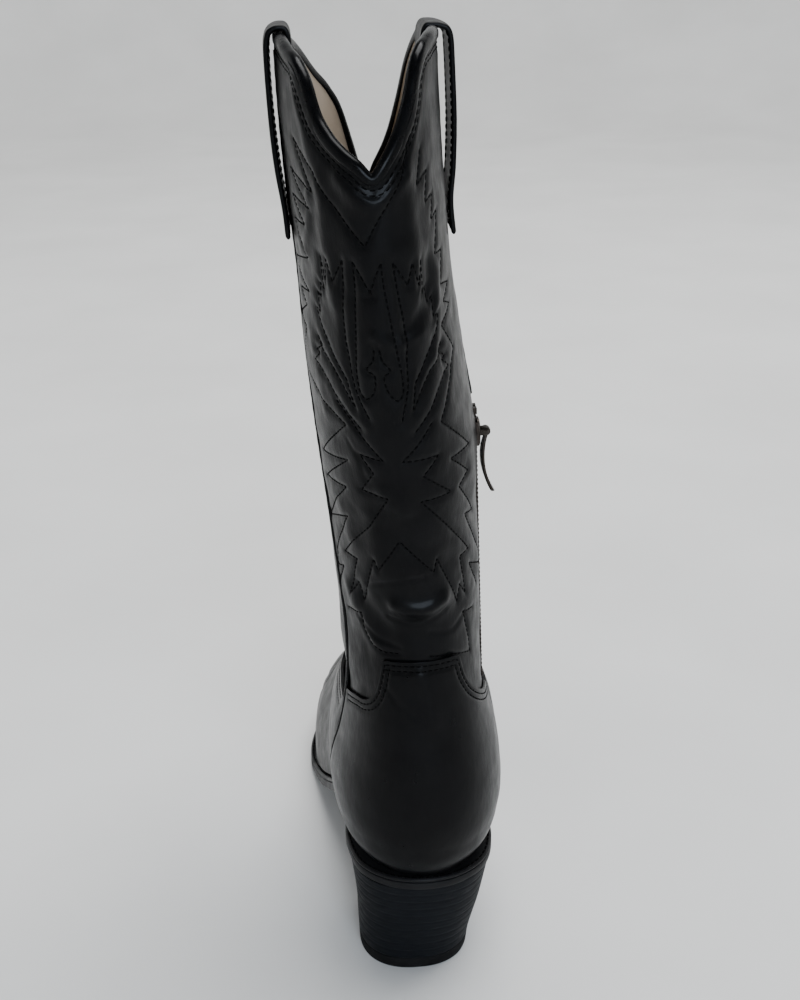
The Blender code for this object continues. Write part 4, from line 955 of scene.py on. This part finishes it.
def make_shaft(front):
    side = "front" if front else "back"
    surface = Surface(front, PANEL[0])
    decoration, feathers = shaft_lines(front), feather_lines(front)
    rows = [along_edge(front, lambda u: top_edge(front, u), below) for below in TOP_ROWS]
    add_groove(surface, decoration, LINE_GROOVE)
    add_groove(surface, feathers, FEATHER_GROOVE)
    add_groove(surface, rows, TOP_GROOVE)
    for corners, width, height in (FRONT_FOLDS if front else BACK_FOLDS):
        surface.add([shaft_line(front, corners, True)], width / 1000, height / 1000)
    roll_off_seams(surface, 0.125, 0.400, 500)
    surface.ripples = [(0.030, 0.00055, 3.7), (0.0115, 0.00034, 9.1), (0.0050, 0.00011, 5.3)]
    limits = (front, shaft_bottom(front), lambda u: top_edge(front, u) - EDGE_GAP)
    uv = grid_uv(*limits, 300, 150, SEAM_SETBACK, beside_zip)
    shell_piece(f"shaft_{side}_leather", surface, PANEL[1], uv, LEATHER, f"shaft_{side}_panel")
    stitch_piece(f"shaft_{side}_stitching", rows_on(surface, decoration + feathers))
    stitch_piece(f"top_edge_{side}_stitching", rows_on(surface, rows), TOP_STITCH, TOP_THREAD_R)
    lining = Surface(front, LINING[0])
    lining.ripples = [(0.025, 0.00030, 4.4)]
    uv = grid_uv(*limits, 120, 70, LINING_SETBACK, lambda z: LINING_SETBACK + (beside_zip(z) - SEAM_SETBACK))
    shell_piece(f"shaft_{side}_inner_lining", lining, LINING[1], uv, LINING_LEATHER,
                f"shaft_{side}_lining", "lining")


# ---------------------------------------------------------------- counter and vamp
def counter_edge(u):
    return through(COUNTER_EDGE, u)


def vamp_edge(u):
    return through(VAMP_EDGE, u)


def make_counter():
    surface = Surface(False, COVER[0])
    rows = [along_edge(False, counter_edge, below) for below in COUNTER_ROWS]
    add_groove(surface, rows, COVER_GROOVE)
    surface.add([along_edge(False, counter_edge, 0.0, 0.0, 1.0)], 0.0009, -0.0005)
    roll_off_seams(surface, 0.058, 0.130, 160)
    surface.add([shaft_line(False, ((0, 158), (3, 148), (4, 136)), True)], 0.004, 0.0009)
    surface.add([shaft_line(False, ((-14, 150), (-8, 143), (-2, 139)), True)], 0.0014, -0.0003)
    surface.ripples = [(0.028, 0.00030, 1.9), (0.009, 0.00011, 6.2), (0.0045, 0.00004, 2.2)]
    uv = grid_uv(False, constant(0.0570), counter_edge, 110, 150, SEAM_SETBACK, beside_zip)
    shell_piece("counter_leather", surface, COVER[1], uv, SMOOTH_LEATHER, "counter_cover")
    stitch_piece("counter_stitching", rows_on(surface, rows), COUNTER_STITCH)


# The toe's three figures as (u, v), each inside the one before
TOE_STITCH = (
    ((0.13, 0.012), (0.24, 0.030), (0.34, 0.020), (0.43, 0.040), (0.50, 0.062),
     (0.57, 0.040), (0.66, 0.020), (0.76, 0.030), (0.87, 0.012)),
    ((0.16, 0.006), (0.26, 0.023), (0.35, 0.013), (0.44, 0.032), (0.50, 0.052),
     (0.56, 0.032), (0.65, 0.013), (0.74, 0.023), (0.84, 0.006)),
    ((0.36, 0.000), (0.43, 0.018), (0.50, 0.034), (0.57, 0.018), (0.64, 0.000)),
)
VAMP_STRETCH = 1.4


def vamp_line(points):
    """(u, v) along a smooth line on the vamp, in steps for which v counts VAMP_STRETCH times as much as u."""
    flat = even_steps(np.array(points, float) * (1.0, VAMP_STRETCH), 0.0008, True)
    return flat[:, 0], flat[:, 1] / VAMP_STRETCH


def make_vamp():
    surface = Surface(True, COVER[0])
    u = np.linspace(ROW_START, ROW_END, 700)
    rows = [(u, vamp_edge(u) - below) for below in VAMP_ROWS]
    toe = [vamp_line(points) for points in TOE_STITCH]
    add_groove(surface, rows, COVER_GROOVE)
    add_groove(surface, toe, TOE_GROOVE)
    roll_off_seams(surface, 0.089, 0.135, 160)
    across = np.linspace(0.30, 0.70, 120)
    for level, height in ((0.030, 0.0006), (0.040, -0.0006), (0.052, 0.0005)):
        surface.add([(across, level + 0.006 * np.cos((across - 0.5) * 7))], 0.005, height)
    surface.ripples = [(0.030, 0.00030, 2.6), (0.010, 0.00010, 8.4)]
    uv = grid_uv(True, constant(-0.0440), vamp_edge, 190, 130, SEAM_SETBACK, beside_zip)
    shell_piece("vamp_leather", surface, COVER[1], uv, SMOOTH_LEATHER, "vamp")
    stitch_piece("vamp_stitching", rows_on(surface, rows + toe), VAMP_STITCH)


# ---------------------------------------------------------------- binding and piping
BINDING_OUT, BINDING_IN = -0.00055, 0.0043      # depths of the binding's two faces
BINDING_LEG = 0.0021                            # how far its legs reach down from the edge


def edge_profile(count=10):
    """(depth, distance below the edge) round the binding's section."""
    radius = (BINDING_IN - BINDING_OUT) / 2
    middle = (BINDING_IN + BINDING_OUT) / 2
    angle = np.linspace(0, math.pi, count)
    cap = np.stack([middle + radius * np.cos(angle), -radius * np.sin(angle) * 0.9], axis=-1)
    legs = np.array([[BINDING_OUT, 0.4 * BINDING_LEG], [BINDING_OUT + 0.0001, BINDING_LEG - 0.0004],
                     [BINDING_OUT + 0.0006, BINDING_LEG], [BINDING_IN - 0.0006, BINDING_LEG],
                     [BINDING_IN - 0.0001, BINDING_LEG - 0.0004], [BINDING_IN, 0.4 * BINDING_LEG]])
    return np.concatenate([cap, legs])


def make_binding():
    profile = edge_profile()
    rings = []
    for front in (False, True):
        u = np.linspace(0, 1, 260)
        rows = []
        for depth, below in profile:
            s, z = beside_edge(front, u, top_edge(front, u), below).T
            rows.append(layer(front, u_at(front, s, z), z, depth))
        ring = np.stack(rows, axis=1)
        rings.append(ring[::-1][1:-1] if front else ring)
    points = np.concatenate(rings)
    faces = grid_faces(len(points) + 1, len(profile), wrap=True) % (len(points) * len(profile))
    mesh = points.reshape(-1, 3) + LAST_ORIGIN, faces
    boot_piece("top_edge_binding", mesh, TRIM_LEATHER, "top_binding", "black_leather", sharp=60)


def piping_depth(z):
    return 0.0006 - 0.0016 * (1 - through(((0.0, 0.0), (0.125, 0.0), (0.150, 1.0), (0.5, 1.0)), z, True))


def make_piping():
    for name, node, medial, low, high in (
            ("lateral_seam_piping", "side_piping_lateral", False, 0.0580, 0.4020),
            ("medial_upper_piping", "side_piping_medial_upper", True, 0.2640, 0.4030),
            ("medial_lower_piping", "side_piping_medial_lower", True, 0.0580, 0.1250)):
        heights = np.arange(low, high, 0.0016)
        path = np.array([beside_seam(medial, 0.0, z, float(piping_depth(z))) for z in heights]) + LAST_ORIGIN
        radius = PIPING_R * (1 + 0.04 * np.sin(heights * 900))
        boot_piece(name, tube_mesh(path, radius, 14), TRIM_LEATHER, node, "black_leather")


# ---------------------------------------------------------------- pull straps
STRAP_BOWS = {False: 0.0024, True: 0.0046}      # how far each strap bows out from the shaft, by side


def strap_path(bow):
    """Strap centre line as (offset outwards from the form, height), from the inside end over the binding."""
    centre, crest = -(LINING[0] + LINING[1]) / 2, STRAP_CREST
    turn = STRAP_TURN + STRAP_THICKNESS / 2
    corner = turn * math.sqrt(0.5)
    out = bow + STRAP_THICKNESS / 2
    close = min(bow, STRAP_STANDOFF) + STRAP_THICKNESS / 2
    return ((centre - turn, 0.362), (centre - turn, 0.385), (centre - turn, crest - 0.003),
            (centre - corner, crest + corner), (centre, crest + turn),
            ((centre + out) / 2, crest + turn * 0.84), (out - 0.0009, crest + turn * 0.20),
            (out, 0.3985), (out, 0.378), (close + (out - close) * 0.55, 0.358),
            (close, 0.344), (close, STRAP_END_Z))


def strap_point(medial, t, y, lift):
    """Point on a strap: t runs along its centre line, y across it, lift outwards from its middle layer."""
    path = np.array(strap_path(STRAP_BOWS[medial]))
    knots = np.arange(len(path))
    line = spline(knots, path, t)
    slope = unit(spline(knots, path, t + 0.01) - spline(knots, path, t - 0.01))
    offset = line[..., 0] - slope[..., 1] * lift
    z = line[..., 1] + slope[..., 0] * lift
    seam = form(False, 1.0 if medial else 0.0, np.minimum(z, 0.405))[..., 0]
    out = offset - STRAP_CUP * (1 - np.cos(np.arcsin(y / STRAP_CURVE)))
    return np.stack([seam + out * (1 if medial else -1), STRAP_Y + y, z], axis=-1)


STRAP_LAST = len(strap_path(0.0)) - 1           # t at the outer end of a strap


def strap_rows(medial):
    """Paths and normals of a strap's stitches: a row along each edge and a box at the outer end."""
    reach = STRAP_WIDTH / 2 - STRAP_ROW
    run = np.linspace(0.1, STRAP_LAST - 0.2, 700)
    rows = [(run, np.full_like(run, y)) for y in (-reach, reach)]
    end, back = STRAP_LAST - 0.15, STRAP_LAST - 1.0
    box = np.array([(end, -reach), (end, reach), (back, -reach), (back, reach), (end, -reach)])
    rows.append((even_steps(box * (1, 100), 0.01) / (1, 100)).T)
    paths = []
    for run, y in rows:
        surface = strap_point(medial, run, y, -STRAP_THICKNESS / 2 + 0.00012) + LAST_ORIGIN
        paths.append((surface, surface - strap_point(medial, run, y, 0.0) - LAST_ORIGIN))
    return paths


def make_strap(name, node, medial):
    half = STRAP_WIDTH / 2
    rounding = half - STRAP_EDGE * np.array([0.0, 0.3, 1.0])
    across = np.concatenate([-rounding, np.linspace(-half + 0.0018, half - 0.0018, 17), rounding[::-1]])
    edge = np.minimum(1.0, (half - np.abs(across)) / STRAP_EDGE)
    thick = STRAP_THICKNESS / 2 * (0.45 + 0.55 * np.sqrt(1 - (1 - edge) ** 2))
    groove = 0.00022 * np.exp(-((half - STRAP_ROW - np.abs(across)) / 0.0006) ** 2)
    t = np.linspace(0, STRAP_LAST, 170)
    tt, yy = np.meshgrid(t, across, indexing="ij")
    ends = np.minimum(1.0, np.minimum(tt - t[0], t[-1] - tt) / 0.06) ** 0.5
    wave = 0.00018 * np.sin(tt * 2.3 + (1.0 if medial else 0.0)) * np.cos(yy / half * 1.2)
    thickness = thick[None, :] * (0.5 + 0.5 * ends)
    outer = strap_point(medial, tt, yy, -(thickness - groove[None, :]) + wave)
    inner = strap_point(medial, tt, yy, thickness + wave)
    boot_piece(name, closed_sheet(outer, inner), STRAP_LEATHER, node, "black_leather", sharp=50)
    stitch_piece(f"{name}_stitching", strap_rows(medial), STRAP_STITCH)


# ---------------------------------------------------------------- zip
ZIP_FOOT = form(False, 1.0, 0.150)
ZIP_HEAD = form(False, 1.0, 0.253)
ZIP_LEAN = math.atan((ZIP_FOOT[0] - ZIP_HEAD[0]) / (ZIP_HEAD[2] - ZIP_FOOT[2]))


def zip_matrix(z):
    """Local X points out of the boot and local Z up along the zip, from a point on its surface."""
    x = ZIP_FOOT[0] - math.tan(ZIP_LEAN) * (z - ZIP_FOOT[2])
    place = Matrix.Translation(Vector((x, ZIP_Y, z)) + Vector(LAST_ORIGIN.tolist()))
    return place @ Matrix.Rotation(-ZIP_LEAN, 4, "Y")


def block(low, high, bevel):
    """Points and faces of a box with chamfered edges; a corner has one point on each of its three sides."""
    corners = list(product((0, 1), repeat=3))
    points = []
    for corner in corners:
        at = np.where(corner, high, low)
        for side in range(3):
            point = at + np.where(corner, -bevel, bevel)
            point[side] = at[side]
            points.append(point)

    def vert(axis, a, b, c, side):
        """The point on one side of the corner that is a along an axis, and b and c along the two after it."""
        return int(np.roll((a, b, c), axis) @ (4, 2, 1)) * 3 + side

    faces = []
    for axis, a in product(range(3), (0, 1)):
        ring = [vert(axis, a, b, c, axis) for b, c in ((0, 0), (1, 0), (1, 1), (0, 1))]
        faces.append(ring if a else ring[::-1])
    for axis, b, c in product(range(3), (0, 1), (0, 1)):
        near, far = (axis + 1) % 3, (axis + 2) % 3
        ends = ((0, near), (1, near), (1, far), (0, far))
        quad = [vert(axis, a, b, c, side) for a, side in ends]
        faces.append(quad if b != c else quad[::-1])
    for corner in corners:
        ring = [vert(0, *corner, side) for side in range(3)]
        faces.append(ring if sum(corner) % 2 else ring[::-1])
    return np.array(points), faces


def placed(mesh, matrix):
    points, faces = mesh
    m = np.array(matrix)
    return points @ m[:3, :3].T + m[:3, 3], faces


def metal_piece(name, parts, place, body, node, sharp=30):
    points, faces = placed(merged(parts), place)
    finish_piece(mesh_object(name, points, faces, GUNMETAL, sharp=sharp), body, [node])


def make_teeth():
    """Cast teeth, each a root and a head; the two sides stand half a pitch apart and mesh at the middle."""
    tooth = merged([block((-0.0012, -0.0009, -0.00062), (0.00055, 0.0023, 0.00062), 0.00022),
                    block((-0.0010, -0.0017, -0.00042), (0.00045, -0.0006, 0.00042), 0.00018)])
    count = int((ZIP_HIGH - ZIP_LOW - 0.004) / TOOTH_PITCH)
    for side, turn, start in (("back", -1, 0.0), ("front", 1, 0.5)):
        heights = ZIP_LOW + 0.0028 + (np.arange(count) + start) * TOOTH_PITCH
        teeth = [placed(tooth, zip_matrix(z) @ Matrix.Diagonal((1, turn, 1, 1))) for z in heights]
        boot_piece(f"zip_teeth_{side}", merged(teeth), GUNMETAL, f"zipper_teeth_{side}", "gunmetal",
                   smooth=False)


def make_tapes():
    heights = np.linspace(ZIP_LOW - 0.003, ZIP_HIGH + 0.003, 90)
    for side, turn in (("back", -1), ("front", 1)):
        distances = np.linspace(0.0006, 0.0125, 16) * turn
        grids = []
        for depth in (TAPE[0] - 0.0012, TAPE[0] + TAPE[1]):
            grids.append(np.array([[beside_seam(True, d, z, depth if abs(d) < 0.0040 else max(depth, TAPE[0]))
                                    for d in distances] for z in heights]))
        boot_piece(f"zip_tape_{side}", closed_sheet(*grids), SLOT_MATERIAL["zipper_tape"],
                   f"zipper_tape_{side}", "zipper_tape")


def make_bottom_stop():
    stop = block((-0.0016, -0.0034, -0.0013), (0.0009, 0.0034, 0.0013), 0.0004)
    metal_piece("zip_bottom_stop", [stop], zip_matrix(ZIP_LOW), "boot", "zipper_bottom_stop")


def plate_outline(half_width, half_length, steps=10):
    """A slider plate's outline in its own Y and Z: broad shoulders above, narrower foot."""
    points = []
    for k in range(4 * steps):
        angle = 2 * math.pi * k / (4 * steps)
        c, s = math.cos(angle), math.sin(angle)
        width = half_width * (1.0 if s > 0 else 1.0 - 0.16 * s * s)
        y = width * math.copysign(abs(c) ** 0.55, c)
        points.append((y, half_length * math.copysign(abs(s) ** 0.65, s)))
    return np.array(points)


def domed_plate(outline, back, front, dome, rings=6):
    """A plate between two X values, its front face domed and its edge rounded."""
    n = len(outline)
    sections = [(back, 0.93), (back + 0.0002, 1.0), (front - 0.0003, 1.0)]
    sections += [(front + dome * (1 - (1 - k / rings) ** 2), 0.94 * (1 - k / rings)) for k in range(rings)]
    rows = [np.column_stack([np.full(n, x), outline * share]) for x, share in sections]
    points = np.concatenate(rows + [[[front + dome, 0, 0]]])
    faces = [list(f) for f in grid_faces(len(rows), n, wrap=True)]
    last = (len(rows) - 1) * n
    faces += [[last + k, last + (k + 1) % n, len(points) - 1] for k in range(n)]
    faces.append(list(range(n))[::-1])
    return points, faces


def make_slider():
    """A domed plate over two flanges, with two cheeks that carry the pull's pin."""
    parts = [domed_plate(plate_outline(0.0043, 0.0060), 0.0006, 0.0017, 0.0005)]
    for y, thick, low, high, bevel in ((0.0039, 0.0004, (-0.0014, -0.0052), (0.0012, 0.0052), 0.0002),
                                       (0.0026, 0.0004, (0.0012, -0.0012), (0.0054, 0.0012), 0.0003)):
        for side in (-y, y):
            parts.append(block((low[0], side - thick, low[1]), (high[0], side + thick, high[1]), bevel))
    pin = np.array([(BAR_STANDOFF, y, 0.0) for y in np.linspace(-0.0026, 0.0026, 6)])
    parts.append(tube_mesh(pin, 0.0008))
    metal_piece("zip_slider_body", parts, zip_matrix(SLIDER_Z), "zip_slider", "zipper_slider")


PULL_LENGTH = 0.0265
EYE_R = 0.00145             # from the hinge axis to the middle of the eye's metal
EYE_SECTION = ((-0.00050, -0.0016), (0.00045, -0.0016), (0.00062, 0.0), (0.00045, 0.0016), (-0.00050, 0.0016))


def pull_tab():
    """A long tab that curves away from the boot, with a raised rim and a rounded tip."""
    t = np.linspace(0, 1, 44)[:, None]
    side = np.linspace(-1, 1, 13)[None, :]
    out = 0.0002 - 0.0085 * t + 0.0118 * t ** 2
    width = 0.0031 * (0.42 + 0.58 * np.clip(t * 3.0, 0, 1) ** 1.2)
    width *= np.sqrt(np.clip(1 - np.clip((t - 0.90) / 0.10, 0, 1) ** 2, 0.02, 1))
    rim = 0.00062 + 0.00026 * np.exp(-((np.abs(side) - 0.80) / 0.14) ** 2)
    thick = rim * np.sqrt(np.clip(1 - np.abs(side) ** 8, 0.05, 1))
    y, z = width * side, -0.0013 - PULL_LENGTH * t
    faces = [np.stack(np.broadcast_arrays(x, y, z), axis=-1) for x in (out - thick, out + thick)]
    points, faces = closed_sheet(*faces)
    return points - LAST_ORIGIN, [list(f) for f in faces]


def pull_eye(count=24):
    angle = np.linspace(0, 2 * math.pi, count + 1)[:-1]
    away = np.stack([np.cos(angle), np.zeros(count), np.sin(angle)], axis=-1)
    rings = [away * (EYE_R + r) + (0, y, 0) for r, y in EYE_SECTION]
    points = np.stack(rings, axis=1).reshape(-1, 3)
    return points, [list(f) for f in grid_faces(count + 1, len(EYE_SECTION), wrap=True) % len(points)]


def make_pull():
    hinge = zip_matrix(SLIDER_Z) @ Matrix.Translation((BAR_STANDOFF, 0, 0))
    place = hinge @ Matrix.Rotation(ZIP_LEAN, 4, "Y")
    metal_piece("zip_pull_tab", [pull_tab(), pull_eye()], place, "zip_pull", "zipper_pull", 50)


# ---------------------------------------------------------------- sole and heel
def sole_point(x, y, rise):
    """A point a rise above the outsole's bottom face, square to the sole's side profile."""
    dy = 0.0005
    slope = (through(SEAT, y + dy, True) - through(SEAT, y - dy, True)) / (2 * dy)
    scale = rise / np.sqrt(1 + slope ** 2)
    return np.stack([x + 0 * y, y - slope * scale, through(SEAT, y, True) - SEAT_RISE + scale], axis=-1)


SOLE_LOOP = closed_spline(OUTLINE, 8)
SOLE_EDGE = ((0.0007, 0.0), (0.0002, 0.0004), (0.0, 0.0011), (0.0, 0.0029), (0.0002, 0.0036),
             (0.0007, OUTSOLE_THICKNESS))
WELT_SECTION = ((0.0006, 0.0), (0.0001, 0.0003), (0.0, 0.0008), (0.0003, 0.0014), (0.0010, WELT_THICKNESS),
                (0.0016, WELT_THICKNESS - 0.0003), (0.0022, WELT_THICKNESS), (WELT_WIDTH, WELT_THICKNESS),
                (WELT_WIDTH, 0.0))
WELT_ROW = 0.0016           # from the welt's edge to its stitches


def sole_ring(loop, rise):
    return sole_point(loop[:, 0], loop[:, 1], rise)


def make_outsole():
    """Rings that step inwards from the outline close the top and bottom; the edge between them is rounded."""
    middle_y = np.clip(SOLE_LOOP[:, 1], 0.012, 0.268)
    middle_x = np.interp(middle_y, (0.0, 0.10, 0.17, 0.28), (0.0, -0.001, -0.004, 0.0025))
    middle = np.stack([middle_x, middle_y], axis=-1)
    rim = inset_loop(SOLE_LOOP, SOLE_EDGE[0][0])
    steps = [rim * (1 - share) + middle * share for share in (1.0, 0.66, 0.33)]
    rings = [sole_ring(step, 0.0) for step in steps]
    rings += [sole_ring(inset_loop(SOLE_LOOP, inset), rise) for inset, rise in SOLE_EDGE]
    rings += [sole_ring(step, OUTSOLE_THICKNESS) for step in steps[::-1]]
    mesh = np.concatenate(rings) + LAST_ORIGIN, grid_faces(len(rings), len(SOLE_LOOP), wrap=True)
    boot_piece("outsole_edge", mesh, SOLE, "outsole", "sole", sharp=35)


def make_welt():
    rings = [sole_ring(inset_loop(SOLE_LOOP, inset), WELT_RISE + rise) for inset, rise in WELT_SECTION]
    points = np.concatenate(rings) + LAST_ORIGIN
    faces = grid_faces(len(rings) + 1, len(SOLE_LOOP), wrap=True) % len(points)
    boot_piece("welt_strip", (points, faces), SOLE, "welt", "sole", sharp=50)
    row = inset_loop(SOLE_LOOP, WELT_ROW)
    row = np.concatenate([row, row[:1]])
    top = WELT_RISE + WELT_THICKNESS
    low, high = (sole_ring(row, top + lift) + LAST_ORIGIN for lift in (-0.0002, 0.0008))
    stitch_piece("welt_stitching", [(low, high - low)], WELT_STITCH, WELT_THREAD_R)


# Heel sections: height, middle x, half width, back y, breast y
HEEL_SECTIONS = ((0.0000, -0.0041, 0.0252, 0.0056, 0.0520), (0.0064, -0.0038, 0.0256, 0.0052, 0.0525),
                 (0.0300, -0.0012, 0.0290, 0.0030, 0.0560), (0.0494, -0.0002, 0.0322, 0.0012, 0.0600))
HEEL_LIFT_TOP = 0.0063
HEEL_LAYERS = 10


def heel_loop(z, inset, count=26):
    """A heel section: a half round back, straight sides and a slightly hollow breast with rounded corners."""
    levels, sections = [s[0] for s in HEEL_SECTIONS], [s[1:] for s in HEEL_SECTIONS]
    middle, half_width, back, breast = spline(levels, sections, z)
    round_depth = half_width * 0.95
    points = []
    for k in range(2 * count + 1):
        angle = math.pi * k / (2 * count)
        spread = math.copysign(abs(math.cos(angle)) ** 0.85, math.cos(angle))
        depth = 1 - abs(math.sin(angle)) ** 0.9
        points.append((middle + half_width * spread, back + round_depth * depth))
    side = np.linspace(0, 1, 9)[1:]
    end_y = points[-1][1]
    left = [(points[-1][0], end_y + (breast - 0.0012 - end_y) * t) for t in side]
    hollow = [(middle - half_width * (1 - 2 * t) * 0.985, breast - 0.005 * math.sin(math.pi * t))
              for t in np.linspace(0.01, 0.99, 21)]
    right = [(points[0][0], end_y + (breast - 0.0012 - end_y) * t) for t in side[::-1]]
    loop = np.array(points + left + hollow + right)
    loop -= unit(loop - loop.mean(axis=0)) * inset
    return np.column_stack([loop, np.full(len(loop), z)])


def heel_mesh(heights, insets):
    """Points and faces of a stack of heel sections, closed by rings that step inwards."""
    rows = [heel_loop(z, inset) for z, inset in zip(heights, insets)]
    bottom = [rows[0] * (1 - t) + rows[0].mean(axis=0) * t for t in (1.0, 0.6, 0.3)]
    top = [rows[-1] * (1 - t) + rows[-1].mean(axis=0) * t for t in (0.3, 0.6, 1.0)]
    rows = bottom + rows + top
    return np.concatenate(rows) + LAST_ORIGIN, grid_faces(len(rows), len(rows[0]), wrap=True)


def make_heel():
    """Stacked layers show as fine grooves; the top lift below them is rubber with a rounded edge."""
    low, high = HEEL_LIFT_TOP + 0.0001, 0.0492
    pitch = (high - low) / HEEL_LAYERS
    heights = np.arange(low, high + 1e-6, pitch / 9)
    to_line = np.abs((heights - low + pitch / 2) % pitch - pitch / 2)
    insets = 0.00018 * np.exp(-(to_line / 0.0004) ** 2)
    mesh = heel_mesh(heights, insets)
    boot_piece("heel_stack", mesh, HEEL_STACK, "heel_block", "heel_stack", sharp=50)
    heights = (0.0, 0.0004, 0.0012, 0.0030, 0.0052, 0.0059, HEEL_LIFT_TOP - 0.0001)
    insets = (0.0007, 0.0002, 0.0, 0.0, 0.0, 0.0001, 0.0004)
    mesh = heel_mesh(heights, insets)
    boot_piece("heel_lift", mesh, RUBBER, "heel_top_lift", "rubber", sharp=50)


# ---------------------------------------------------------------- camera, light and floor
CAMERA_PLACE = (-0.0363, -0.6067, 0.4500)
CAMERA_TURN = (4.0, 24.0, 1.0)      # yaw, pitch downwards and roll, in degrees
CAMERA_LENS = 48.24


def make_camera():
    """The camera stands behind the boot and a little to its outer side, looking down at it."""
    yaw, pitch, roll = (math.radians(angle) for angle in CAMERA_TURN)
    forward = Vector((math.sin(yaw) * math.cos(pitch), math.cos(yaw) * math.cos(pitch), -math.sin(pitch)))
    right = Vector((math.cos(yaw), -math.sin(yaw), 0.0))
    up = right.cross(forward)
    right, up = (math.cos(roll) * right - math.sin(roll) * up, math.sin(roll) * right + math.cos(roll) * up)
    data = bpy.data.cameras.new("camera")
    data.lens, data.sensor_width = CAMERA_LENS, 36.0
    data.clip_start, data.clip_end = 0.02, 50.0
    camera = bpy.data.objects.new("camera", data)
    turn = Matrix((right, up, -forward)).transposed().to_4x4()
    camera.matrix_world = Matrix.Translation(CAMERA_PLACE) @ turn
    bpy.context.scene.collection.objects.link(camera)
    bpy.context.scene.camera = camera


def area_light(name, place, target, size, power, colour):
    data = bpy.data.lights.new(name, "AREA")
    data.shape = "RECTANGLE"
    data.size, data.size_y = size
    data.energy, data.color = power, colour
    light = bpy.data.objects.new(name, data)
    light.location = place
    light.rotation_mode = "QUATERNION"
    light.rotation_quaternion = (Vector(target) - Vector(place)).to_track_quat("-Z", "Y")
    light.visible_camera = False
    bpy.context.scene.collection.objects.link(light)


def make_light():
    """One big soft light overhead, a weak one on each flank, and a small cool window behind the camera."""
    area_light("overhead", (0.45, 0.60, 3.00), (0, 0.1, 0.0), (2.0, 1.7), 122, (0.98, 0.99, 1.0))
    area_light("left_window", (-1.30, 0.70, 0.80), (0, 0, 0.25), (0.8, 1.0), 1.8, (0.95, 0.98, 1.0))
    area_light("right_window", (1.30, 0.75, 0.80), (0, 0, 0.25), (0.8, 1.0), 2.4, (1.0, 0.985, 0.96))
    area_light("room_window", (0.30, -2.0, 0.90), (0, -0.1, 0.25), (0.9, 0.8), 24, (0.72, 0.84, 1.0))
    world = bpy.data.worlds.new("studio")
    world.use_nodes = True
    world.node_tree.nodes["Background"].inputs["Color"].default_value = (0.84, 0.88, 0.95, 1.0)
    world.node_tree.nodes["Background"].inputs["Strength"].default_value = 0.10
    bpy.context.scene.world = world


def make_floor():
    """A pale round floor that curves up all round into a low wall."""
    flat, radius, wall, count = 2.3, 0.9, 2.6, 96
    profile = [(0.4, 0.0), (flat, 0.0)]
    for k in range(1, 13):
        angle = math.pi / 2 * k / 12
        profile.append((flat + radius * math.sin(angle), radius * (1 - math.cos(angle))))
    profile.append((flat + radius, wall))
    angle = np.arange(count) * 2 * math.pi / count
    points = np.concatenate([np.stack([r * np.cos(angle), r * np.sin(angle), np.full(count, z)], axis=-1)
                             for r, z in profile])
    faces = [list(f) for f in grid_faces(len(profile), count, wrap=True)] + [list(range(count))]
    m = Nodes("pale_floor", (0.74, 0.735, 0.72), 0.9, Specular_IOR_Level=0.2)
    m.vary("Base Color", m.noise(6, 4), (0.71, 0.705, 0.69), (0.77, 0.765, 0.75))
    mesh_object("floor", points, faces, m.material, sharp=60, closed=False)


# ---------------------------------------------------------------- build
paint_carried_nodes()
make_shaft(False)
make_shaft(True)
make_counter()
make_vamp()
make_binding()
make_piping()
make_strap("lateral_pull_strap", "pull_strap_lateral", False)
make_strap("medial_pull_strap", "pull_strap_medial", True)
make_tapes()
make_teeth()
make_bottom_stop()
make_slider()
make_pull()
make_outsole()
make_welt()
make_heel()
make_camera()
make_light()
make_floor()
